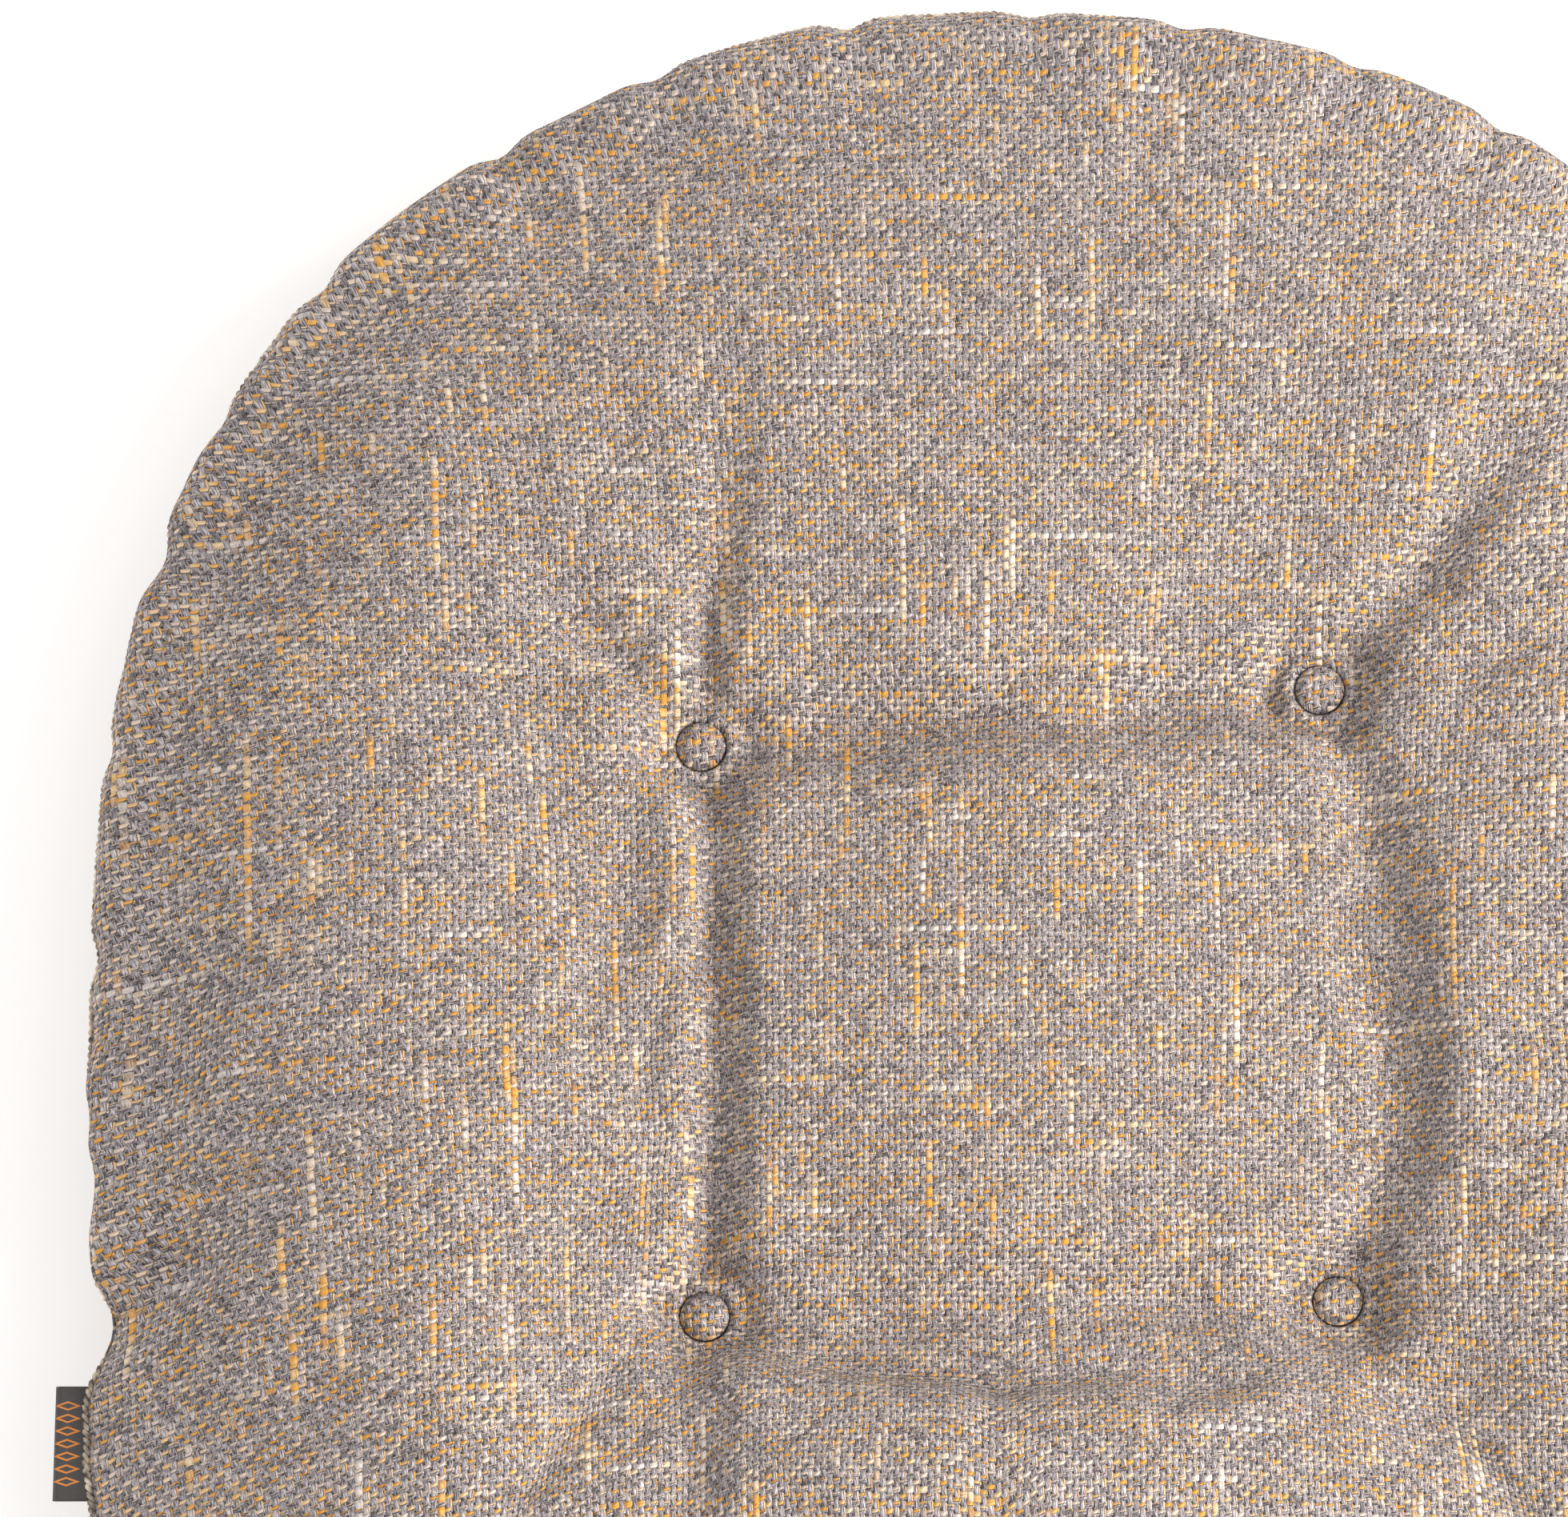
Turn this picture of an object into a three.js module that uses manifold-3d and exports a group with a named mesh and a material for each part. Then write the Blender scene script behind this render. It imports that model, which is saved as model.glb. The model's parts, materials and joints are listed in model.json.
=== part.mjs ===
// Button-tufted seat pad for an armchair: two cover panels sewn together at one edge seam,
// filled with a foam core between two layers of wadding, and drawn in by four covered buttons
// that are tied through the pad to backing buttons underneath.
// Millimetres, +Z up, +Y to the rounded back. The origin is the middle of the underside.

import * as THREE from 'three';
import { mergeVertices } from 'three/addons/utils/BufferGeometryUtils.js';
import Module from 'manifold-3d';

const wasm = await Module();
wasm.setup();

// Overall sizes of the pad.
const PAD_WIDTH = 480;
const PAD_DEPTH = 490;
const PAD_HEIGHT = 92;
const SEAM_HEIGHT = 32;

// Plan outline: a round back and a squarer front, which meet where the pad is widest.
const WIDEST_Y = -12;
const BACK_POWER = 2.25;
const FRONT_POWER = 5.5;

// Side profile, as powers of the share of the way from the middle to the seam.
const CROWN_POWER = 2.2;
const CROWN_ROUNDNESS = 0.6;
const FLAT_SHARE = 0.7;

// Layers and the gap that touching pieces keep.
const GAP = 0.3;
const FABRIC = 1.2;
const WADDING = 10;
const SEAM_ALLOWANCE = 9;
const STITCH_INSET = 5.4;
const THREAD_RADIUS = 0.4;

// Tufting: where the buttons sit, and how deep they are drawn in from the top and the underside.
const BUTTON_SPACING_X = 162;
const BUTTON_SPACING_Y = 156;
const BUTTONS_CENTRE_Y = -23;
// How far each button was sewn from its place in the even grid.
const BUTTON_DRIFT = {
  back_left: [0, -8],
  back_right: [-2, 7],
  front_left: [1, -2],
  front_right: [2, 2],
};
const TOP_TUFT_DEPTH = 38;
const TOP_THROAT_REACH = 14;
const TOP_THROAT_SHARE = 0.57;
const TOP_DIMPLE_REACH = 75;
const UNDERSIDE_TUFT_DEPTH = 12;
const UNDERSIDE_DIMPLE_REACH = 12;
const CUT_MARGIN = 10;

// Covered button: a metal cap in a fabric cover, closed by a back plate with a wire ring.
const BUTTON_RADIUS = 6.3;
const BUTTON_DOME = 2.2;
const BUTTON_RIM = 1.9;
const BUTTON_TUCK = 1.7;
const BUTTON_TAPER = 0.4;
const SHOULDER_SHARE = 0.7;
const SHOULDER_RISE = 0.65;
const CAP_RISE = 0.5;
const BUTTON_FABRIC = 0.8;
const CAP_WALL = 0.4;
const PLATE_THICKNESS = 0.5;
const RING_RADIUS = 1.5;
const RING_WIRE = 0.4;
const SHANK_POCKET_DEPTH = 5.4;
const SHANK_POCKET_RADIUS = 2.9;
const BUTTON_ROOM = 1.1;

// Tufting twine, with an eye round the button's ring, a backing button and a knot.
const TWINE_RADIUS = 0.9;
const EYE_RADIUS = 1.5;
const EYE_TWINE = 0.45;
const BACKING_RADIUS = 7.5;
const BACKING_RIM = 2.4;
const BACKING_DISH = 1.5;
const BACKING_DISH_SHARE = 0.7;
const BACKING_CHAMFER = 0.6;
const BACKING_ROOM = 1.2;
const KNOT_RADIUS = 2.3;
const KNOT_FLATNESS = 0.7;

// Woven label, folded lengthways and caught in the left side of the seam.
const LABEL_LENGTH = 30;
const LABEL_REACH = 7.5;
const LABEL_PLY = 0.35;
const LABEL_CENTRE_Y = -131;

// Fineness of the faceted surfaces.
const OUTLINE_STEPS = 48;
const HEIGHT_STEPS = 10;
const DIMPLE_SIDES = 10;
const ROUND_SIDES = 12;
const WIRE_SIDES = 6;

const COLOURS = {
  cover: 0x9a8f86,
  wadding: 0xf2f1ec,
  foam: 0xe9dfb8,
  thread: 0x6d665f,
  metal: 0xb9bcc0,
  backing: 0x4a4744,
  label: 0x2b2b2d,
};

/** The pad's plan outline, counter-clockwise from its right side. */
class PadOutline extends THREE.Curve {
  getPoint(t, target = new THREE.Vector3()) {
    const turn = 2 * Math.PI * t;
    const isBack = Math.sin(turn) >= 0;
    const power = isBack ? BACK_POWER : FRONT_POWER;
    const reach = PAD_DEPTH / 2 + (isBack ? -WIDEST_Y : WIDEST_Y);
    const across = Math.abs(Math.cos(turn) / (PAD_WIDTH / 2)) ** power;
    const along = Math.abs(Math.sin(turn) / reach) ** power;
    const radius = (across + along) ** (-1 / power);
    return target.set(radius * Math.cos(turn), WIDEST_Y + radius * Math.sin(turn), 0);
  }
}

const OUTLINE = new PadOutline().getSpacedPoints(OUTLINE_STEPS).slice(0, OUTLINE_STEPS);

/** The outward direction of the outline at one of its points. */
function outwardAt(index) {
  const next = OUTLINE[(index + 1) % OUTLINE_STEPS];
  const last = OUTLINE[(index + OUTLINE_STEPS - 1) % OUTLINE_STEPS];
  return new THREE.Vector3(next.y - last.y, last.x - next.x, 0).normalize();
}

/** A point of the outline, moved outwards by `offset` (inwards where it is negative). */
function outlinePoint(index, offset) {
  const wrapped = index % OUTLINE_STEPS;
  return OUTLINE[wrapped].clone().addScaledVector(outwardAt(wrapped), offset);
}

/** The same point, for a flat shape. */
function planPoint(index, offset) {
  const point = outlinePoint(index, offset);
  return new THREE.Vector2(point.x, point.y);
}

/** Height of the top skin above the seam, at a share of the way out from the middle. */
function crownHeight(share, inset) {
  const rise = PAD_HEIGHT - SEAM_HEIGHT - inset;
  return rise * (1 - share ** CROWN_POWER) ** CROWN_ROUNDNESS;
}

/** Depth of the underside below the seam: flat in the middle, then round up to the seam. */
function bellyDepth(share, inset) {
  const rounding = Math.max(0, (share - FLAT_SHARE) / (1 - FLAT_SHARE));
  return (SEAM_HEIGHT - inset) * Math.sqrt(Math.max(0, 1 - rounding ** 2));
}

/** A three.js geometry as a solid that can be joined and cut. */
function solidOf(geometry) {
  const bare = geometry.clone();
  bare.deleteAttribute('normal');
  bare.deleteAttribute('uv');
  const merged = mergeVertices(bare);
  return new wasm.Manifold(new wasm.Mesh({
    numProp: 3,
    vertProperties: new Float32Array(merged.attributes.position.array),
    triVerts: new Uint32Array(merged.index.array),
  }));
}

/** A solid as a three.js geometry. */
function geometryOf(solid) {
  const mesh = solid.getMesh();
  const geometry = new THREE.BufferGeometry();
  geometry.setAttribute('position', new THREE.BufferAttribute(mesh.vertProperties, 3));
  geometry.setIndex(new THREE.BufferAttribute(mesh.triVerts, 1));
  geometry.computeVertexNormals();
  return geometry;
}

/** A solid of revolution about Z, from [radius, height] pairs that run from low to high. */
function turned(profile, sides) {
  const points = profile.map(([radius, height]) => new THREE.Vector2(radius, height));
  const geometry = new THREE.LatheGeometry(points, sides);
  return geometry.rotateX(Math.PI / 2);
}

/** The whole pad before it is tufted, with its skin drawn in by `inset`. */
function plainPad(inset) {
  const geometry = new THREE.SphereGeometry(1, OUTLINE_STEPS, HEIGHT_STEPS);
  const position = geometry.attributes.position;
  for (let i = 0; i < position.count; i += 1) {
    const column = i % (OUTLINE_STEPS + 1);
    const row = Math.floor(i / (OUTLINE_STEPS + 1));
    const share = Math.min(1, Math.abs(Math.sin(Math.PI * row / HEIGHT_STEPS)));
    const isTop = 2 * row <= HEIGHT_STEPS;
    const edge = outlinePoint(column, -inset);
    const height = isTop ? crownHeight(share, inset) : -bellyDepth(share, inset);
    const y = WIDEST_Y + share * (edge.y - WIDEST_Y);
    position.setXYZ(i, share * edge.x, y, SEAM_HEIGHT + height);
  }
  return solidOf(geometry);
}

const TOP_SEAT = PAD_HEIGHT - TOP_TUFT_DEPTH;
const UNDERSIDE_SEAT = UNDERSIDE_TUFT_DEPTH;

/** The hollow that a top button draws into the pad, as a plug that is cut away. */
function topDimple(inset) {
  const pocket = SHANK_POCKET_RADIUS + inset;
  const ledge = BUTTON_RADIUS + BUTTON_ROOM + inset;
  const floor = TOP_SEAT - inset;
  const above = PAD_HEIGHT + CUT_MARGIN;
  return solidOf(turned([
    [0, floor],
    [pocket, floor],
    [pocket, floor + SHANK_POCKET_DEPTH - GAP],
    [ledge, floor + SHANK_POCKET_DEPTH],
    [ledge + BUTTON_TAPER, floor + SHANK_POCKET_DEPTH + BUTTON_RIM + BUTTON_DOME],
    [ledge + TOP_THROAT_REACH, floor + TOP_THROAT_SHARE * TOP_TUFT_DEPTH],
    [ledge + TOP_DIMPLE_REACH, above],
    [0, above],
  ], DIMPLE_SIDES));
}

/** The hollow that a backing button draws into the underside. */
function undersideDimple(inset) {
  const seat = BACKING_RADIUS + BACKING_ROOM + inset;
  const ceiling = UNDERSIDE_SEAT + inset;
  const below = -inset - 1;
  return solidOf(turned([
    [0, below],
    [seat + UNDERSIDE_DIMPLE_REACH, below],
    [seat, ceiling - BACKING_RIM],
    [seat, ceiling],
    [0, ceiling],
  ], DIMPLE_SIDES));
}

const BUTTONS = ['back_left', 'back_right', 'front_left', 'front_right'].map((place) => ({
  place,
  x: (place.endsWith('left') ? -1 : 1) * BUTTON_SPACING_X / 2 + BUTTON_DRIFT[place][0],
  y: BUTTONS_CENTRE_Y + (place.startsWith('back') ? 1 : -1) * BUTTON_SPACING_Y / 2
    + BUTTON_DRIFT[place][1],
}));

/** The tufted pad, with its skin drawn in by `inset` everywhere. */
function tuftedPad(inset) {
  let pad = plainPad(inset);
  for (const { x, y } of BUTTONS) {
    pad = pad.subtract(topDimple(inset).translate([x, y, 0]));
    pad = pad.subtract(undersideDimple(inset).translate([x, y, 0]));
  }
  return pad;
}

/** A block that covers the whole pad between two heights. */
function slab(low, high) {
  const box = new THREE.BoxGeometry(2 * PAD_WIDTH, 2 * PAD_DEPTH, high - low);
  return solidOf(box.translate(0, 0, (low + high) / 2));
}

/** Clears the way of the twine through a layer. */
function pierced(solid) {
  let result = solid;
  const hole = new THREE.CylinderGeometry(TWINE_RADIUS + GAP, TWINE_RADIUS + GAP,
    2 * PAD_HEIGHT, WIRE_SIDES).rotateX(Math.PI / 2);
  for (const { x, y } of BUTTONS) {
    result = result.subtract(solidOf(hole).translate([x, y, PAD_HEIGHT / 2]));
  }
  return result;
}

/** The strip of cover that is turned in along the seam, between two heights. */
function seamAllowance(low, high) {
  const shape = new THREE.Shape(OUTLINE.map((_, i) => planPoint(i, -FABRIC / 2)));
  const hole = OUTLINE.map((_, i) => planPoint(i, -SEAM_ALLOWANCE));
  shape.holes.push(new THREE.Path(hole));
  const strip = new THREE.ExtrudeGeometry(shape, { depth: high - low, bevelEnabled: false });
  return solidOf(strip.translate(0, 0, low));
}

/** A thread that runs once round the pad along the seam's stitching line. */
function seamThread(height) {
  const geometry = new THREE.TorusGeometry(1, THREAD_RADIUS, WIRE_SIDES, OUTLINE_STEPS);
  const position = geometry.attributes.position;
  for (let i = 0; i < position.count; i += 1) {
    const column = i % (OUTLINE_STEPS + 1);
    const reach = Math.hypot(position.getX(i), position.getY(i)) - 1;
    const point = outlinePoint(column, reach - STITCH_INSET);
    position.setXYZ(i, point.x, point.y, height + position.getZ(i));
  }
  return solidOf(geometry);
}

const PLATE_LOW = TOP_SEAT + SHANK_POCKET_DEPTH + GAP;
const RING_HEIGHT = PLATE_LOW + RING_WIRE - RING_RADIUS;
const EYE_HEIGHT = RING_HEIGHT - RING_RADIUS + RING_WIRE + GAP + EYE_TWINE - EYE_RADIUS;
const CAP_LOW = PLATE_LOW + PLATE_THICKNESS + GAP;

/** The button's fabric cover: over the dome, round the rim and tucked in underneath. */
function buttonFabric() {
  const rimTop = PLATE_LOW + BUTTON_RIM;
  const top = rimTop + BUTTON_DOME;
  const inside = BUTTON_RADIUS - BUTTON_FABRIC;
  const tuck = BUTTON_RADIUS - BUTTON_TUCK;
  const shoulder = rimTop + SHOULDER_RISE * BUTTON_DOME;
  return turned([
    [0, top - BUTTON_FABRIC],
    [SHOULDER_SHARE * inside, shoulder - BUTTON_FABRIC],
    [inside, rimTop - BUTTON_FABRIC / 2],
    [inside, PLATE_LOW + BUTTON_FABRIC],
    [tuck, PLATE_LOW + BUTTON_FABRIC],
    [tuck, PLATE_LOW],
    [BUTTON_RADIUS - BUTTON_TAPER, PLATE_LOW],
    [BUTTON_RADIUS, rimTop],
    [SHOULDER_SHARE * BUTTON_RADIUS, shoulder],
    [0, top],
  ], ROUND_SIDES);
}

/** The domed metal cap inside the fabric cover. */
function buttonCap() {
  const radius = BUTTON_RADIUS - BUTTON_FABRIC - GAP;
  const rimTop = PLATE_LOW + BUTTON_RIM - BUTTON_FABRIC / 2 - GAP;
  const dome = rimTop + CAP_RISE * BUTTON_DOME;
  const low = Math.max(CAP_LOW, PLATE_LOW + BUTTON_FABRIC + GAP);
  return turned([
    [0, dome - CAP_WALL],
    [radius - CAP_WALL, rimTop - CAP_WALL],
    [radius - CAP_WALL, low],
    [radius, low],
    [radius, rimTop],
    [0, dome],
  ], ROUND_SIDES);
}

/** The back plate, with the wire ring that the twine holds. */
function buttonBack() {
  const radius = BUTTON_RADIUS - BUTTON_TUCK - GAP;
  const plate = turned([
    [0, PLATE_LOW],
    [radius, PLATE_LOW],
    [radius, PLATE_LOW + PLATE_THICKNESS],
    [0, PLATE_LOW + PLATE_THICKNESS],
  ], ROUND_SIDES);
  const ring = new THREE.TorusGeometry(RING_RADIUS, RING_WIRE, WIRE_SIDES, ROUND_SIDES);
  ring.rotateX(Math.PI / 2).translate(0, 0, RING_HEIGHT);
  return solidOf(plate).add(solidOf(ring));
}

const BACKING_TOP = UNDERSIDE_SEAT - GAP;
const BACKING_LOW = BACKING_TOP - BACKING_RIM;
const KNOT_TOP = BACKING_TOP - BACKING_DISH - GAP;

/** The twine, from its eye round the button's ring to the knot under the backing button. */
function twine() {
  const low = KNOT_TOP + GAP;
  const high = EYE_HEIGHT - EYE_RADIUS;
  const strand = new THREE.CylinderGeometry(TWINE_RADIUS, TWINE_RADIUS, high - low, WIRE_SIDES);
  strand.rotateX(Math.PI / 2).translate(0, 0, (low + high) / 2);
  const eye = new THREE.TorusGeometry(EYE_RADIUS, EYE_TWINE, WIRE_SIDES, ROUND_SIDES);
  eye.rotateX(Math.PI / 2).rotateZ(Math.PI / 2).translate(0, 0, EYE_HEIGHT);
  return solidOf(strand).add(solidOf(eye));
}

/** The backing button: a disc with a thicker rim, open in the middle for the twine. */
function backingButton() {
  const hole = TWINE_RADIUS + GAP;
  const dish = BACKING_DISH_SHARE * BACKING_RADIUS;
  return turned([
    [hole, BACKING_TOP - BACKING_DISH],
    [dish, BACKING_TOP - BACKING_DISH],
    [dish + BACKING_CHAMFER, BACKING_LOW],
    [BACKING_RADIUS - BACKING_CHAMFER, BACKING_LOW],
    [BACKING_RADIUS, BACKING_LOW + BACKING_CHAMFER],
    [BACKING_RADIUS, BACKING_TOP],
    [hole, BACKING_TOP],
    [hole, BACKING_TOP - BACKING_DISH],
  ], ROUND_SIDES);
}

/** The knot that ends the twine. */
function knot() {
  const geometry = new THREE.SphereGeometry(KNOT_RADIUS, ROUND_SIDES - 2, WIRE_SIDES);
  geometry.rotateX(Math.PI / 2).scale(1, 1, KNOT_FLATNESS);
  return geometry.translate(0, 0, KNOT_TOP - KNOT_FLATNESS * KNOT_RADIUS);
}

/** Where the label hangs: the seam's place at the label's middle, and its bending line. */
const LABEL_EDGE_X = -Math.max(...OUTLINE
  .filter((point) => Math.abs(point.y - LABEL_CENTRE_Y) < LABEL_LENGTH + LABEL_REACH)
  .map((point) => Math.abs(point.x)));
const LABEL_THICKNESS = 2 * LABEL_PLY + GAP;
const LABEL_LINE_X = LABEL_EDGE_X - GAP - LABEL_THICKNESS / 2;

/** The label: a tape folded at its outer edge, with its two plies a little apart. */
function label() {
  const half = LABEL_THICKNESS / 2;
  const outer = -LABEL_REACH;
  const shape = new THREE.Shape();
  shape.moveTo(half, half);
  shape.lineTo(outer + half, half);
  shape.absarc(outer + half, 0, half, Math.PI / 2, 3 * Math.PI / 2, false);
  shape.lineTo(half, -half);
  shape.lineTo(half, -half + LABEL_PLY);
  shape.lineTo(outer + half, -half + LABEL_PLY);
  shape.absarc(outer + half, 0, half - LABEL_PLY, 3 * Math.PI / 2, Math.PI / 2, true);
  shape.lineTo(half, half - LABEL_PLY);
  shape.closePath();
  const options = { depth: LABEL_LENGTH, bevelEnabled: false, curveSegments: 4 };
  const tape = new THREE.ExtrudeGeometry(shape, options);
  tape.rotateX(Math.PI / 2).translate(0, LABEL_LENGTH / 2, 0);
  return tape.translate(LABEL_LINE_X, LABEL_CENTRE_Y, SEAM_HEIGHT);
}

const pad = new THREE.Group();

/** Adds a named piece to the pad, from a geometry or a solid. */
function addPiece(name, shape, colour, roughness, metalness = 0) {
  const geometry = shape.isBufferGeometry ? shape : geometryOf(shape);
  const material = new THREE.MeshStandardMaterial({ color: colour, roughness, metalness });
  const mesh = new THREE.Mesh(geometry, material);
  mesh.name = name;
  pad.add(mesh);
  return mesh;
}

// Cover panels, each with its strip turned in at the seam.
const HALF_GAP = GAP / 2;
const outerSkin = tuftedPad(0);
const coverLining = tuftedPad(FABRIC);
const covers = pierced(outerSkin.subtract(coverLining));
const allowanceTop = SEAM_HEIGHT + HALF_GAP;
const allowanceLow = SEAM_HEIGHT - HALF_GAP;
const coverTop = covers.intersect(slab(allowanceTop, 2 * PAD_HEIGHT))
  .add(seamAllowance(allowanceTop, allowanceTop + FABRIC));
const coverBottom = covers.intersect(slab(-PAD_HEIGHT, allowanceLow))
  .add(seamAllowance(allowanceLow - FABRIC, allowanceLow));
addPiece('cover_top', coverTop, COLOURS.cover, 0.95);
addPiece('cover_bottom', coverBottom, COLOURS.cover, 0.95);

// Seam threads, along both sides of the turned-in strips.
const threadOffset = HALF_GAP + FABRIC + GAP + THREAD_RADIUS;
addPiece('seam_needle_thread', seamThread(SEAM_HEIGHT + threadOffset), COLOURS.thread, 0.8);
addPiece('seam_bobbin_thread', seamThread(SEAM_HEIGHT - threadOffset), COLOURS.thread, 0.8);

// Filling: the wadding keeps clear of the seam's turned-in strips and threads, and its top
// layer lines the buttons' hollows all the way down.
const waddingInset = FABRIC + GAP;
const foamInset = waddingInset + WADDING + GAP;
const waddings = pierced(tuftedPad(waddingInset).subtract(tuftedPad(waddingInset + WADDING)));
const seamRoom = threadOffset + THREAD_RADIUS + GAP;
let topZone = slab(SEAM_HEIGHT + seamRoom, 2 * PAD_HEIGHT);
let bottomZone = slab(-PAD_HEIGHT, SEAM_HEIGHT - seamRoom);
for (const { x, y } of BUTTONS) {
  topZone = topZone.add(topDimple(foamInset - GAP).translate([x, y, 0]));
  bottomZone = bottomZone.subtract(topDimple(foamInset).translate([x, y, 0]));
}
addPiece('wadding_top', waddings.intersect(topZone), COLOURS.wadding, 1);
addPiece('wadding_bottom', waddings.intersect(bottomZone), COLOURS.wadding, 1);
addPiece('foam_core', pierced(tuftedPad(foamInset)), COLOURS.foam, 1);

// Each tuft: button, twine, backing button and knot.
for (const { place, x, y } of BUTTONS) {
  const pieces = [
    addPiece(`button_fabric_${place}`, buttonFabric(), COLOURS.cover, 0.95),
    addPiece(`button_cap_${place}`, buttonCap(), COLOURS.metal, 0.4, 1),
    addPiece(`button_back_${place}`, buttonBack(), COLOURS.metal, 0.4, 1),
    addPiece(`tufting_twine_${place}`, twine(), COLOURS.thread, 0.8),
    addPiece(`backing_button_${place}`, backingButton(), COLOURS.backing, 0.5),
    addPiece(`twine_knot_${place}`, knot(), COLOURS.thread, 0.8),
  ];
  for (const piece of pieces) {
    piece.position.set(x, y, 0);
  }
}

addPiece('side_label', label(), COLOURS.label, 0.7);

export default pad;
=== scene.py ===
"""A button-tufted seat pad in slub weave: covers, seam, buttons, label, filling and studio."""

import json
import logging
import math
from dataclasses import dataclass
from enum import Enum

import bmesh
import bpy
import numpy as np
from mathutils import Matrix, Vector

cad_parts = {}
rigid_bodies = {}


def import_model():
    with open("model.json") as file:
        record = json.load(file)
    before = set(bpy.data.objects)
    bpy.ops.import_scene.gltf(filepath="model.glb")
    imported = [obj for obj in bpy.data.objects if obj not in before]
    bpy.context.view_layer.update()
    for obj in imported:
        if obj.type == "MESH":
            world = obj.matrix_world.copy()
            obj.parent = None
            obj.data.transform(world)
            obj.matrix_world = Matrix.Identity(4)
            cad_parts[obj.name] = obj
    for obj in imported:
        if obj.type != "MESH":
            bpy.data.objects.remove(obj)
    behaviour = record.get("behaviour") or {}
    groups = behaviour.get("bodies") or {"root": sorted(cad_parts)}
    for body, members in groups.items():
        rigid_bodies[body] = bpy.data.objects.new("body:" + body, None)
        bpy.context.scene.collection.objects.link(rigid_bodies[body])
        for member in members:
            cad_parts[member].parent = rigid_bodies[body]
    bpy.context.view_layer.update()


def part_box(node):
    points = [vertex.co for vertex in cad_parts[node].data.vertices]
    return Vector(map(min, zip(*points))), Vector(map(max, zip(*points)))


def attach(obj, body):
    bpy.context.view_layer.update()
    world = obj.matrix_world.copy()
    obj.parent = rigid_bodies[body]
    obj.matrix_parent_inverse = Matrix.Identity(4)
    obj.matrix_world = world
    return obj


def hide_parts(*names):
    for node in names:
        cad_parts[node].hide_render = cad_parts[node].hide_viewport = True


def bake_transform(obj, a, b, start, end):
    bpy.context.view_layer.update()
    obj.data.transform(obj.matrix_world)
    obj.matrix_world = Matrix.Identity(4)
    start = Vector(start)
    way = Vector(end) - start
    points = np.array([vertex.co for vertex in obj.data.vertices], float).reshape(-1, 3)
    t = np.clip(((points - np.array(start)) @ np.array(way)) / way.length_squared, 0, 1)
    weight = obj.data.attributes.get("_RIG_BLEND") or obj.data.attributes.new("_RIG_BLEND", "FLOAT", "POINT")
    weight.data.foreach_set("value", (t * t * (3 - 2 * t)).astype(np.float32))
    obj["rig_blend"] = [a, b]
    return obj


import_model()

LOG = logging.getLogger("seat_pad")
MM = 0.001
PAD_BODY = "pad"
LABEL_BODY = "label"
PLACES = ("back_left", "back_right", "front_left", "front_right")
Stops = tuple[tuple[float, str], ...]


# ---------------------------------------------------------------- materials


def linear(hex_colour: str) -> tuple[float, float, float, float]:
    """Turns an sRGB hex colour into linear RGBA.

    Args:
        hex_colour: Six hex digits, such as "9A8F86".

    Returns:
        Linear red, green, blue and an alpha of 1.
    """
    channels = [int(hex_colour[i : i + 2], 16) / 255 for i in (0, 2, 4)]
    red, green, blue = [
        c / 12.92 if c <= 0.04045 else ((c + 0.055) / 1.055) ** 2.4 for c in channels
    ]
    return (red, green, blue, 1.0)


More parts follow.
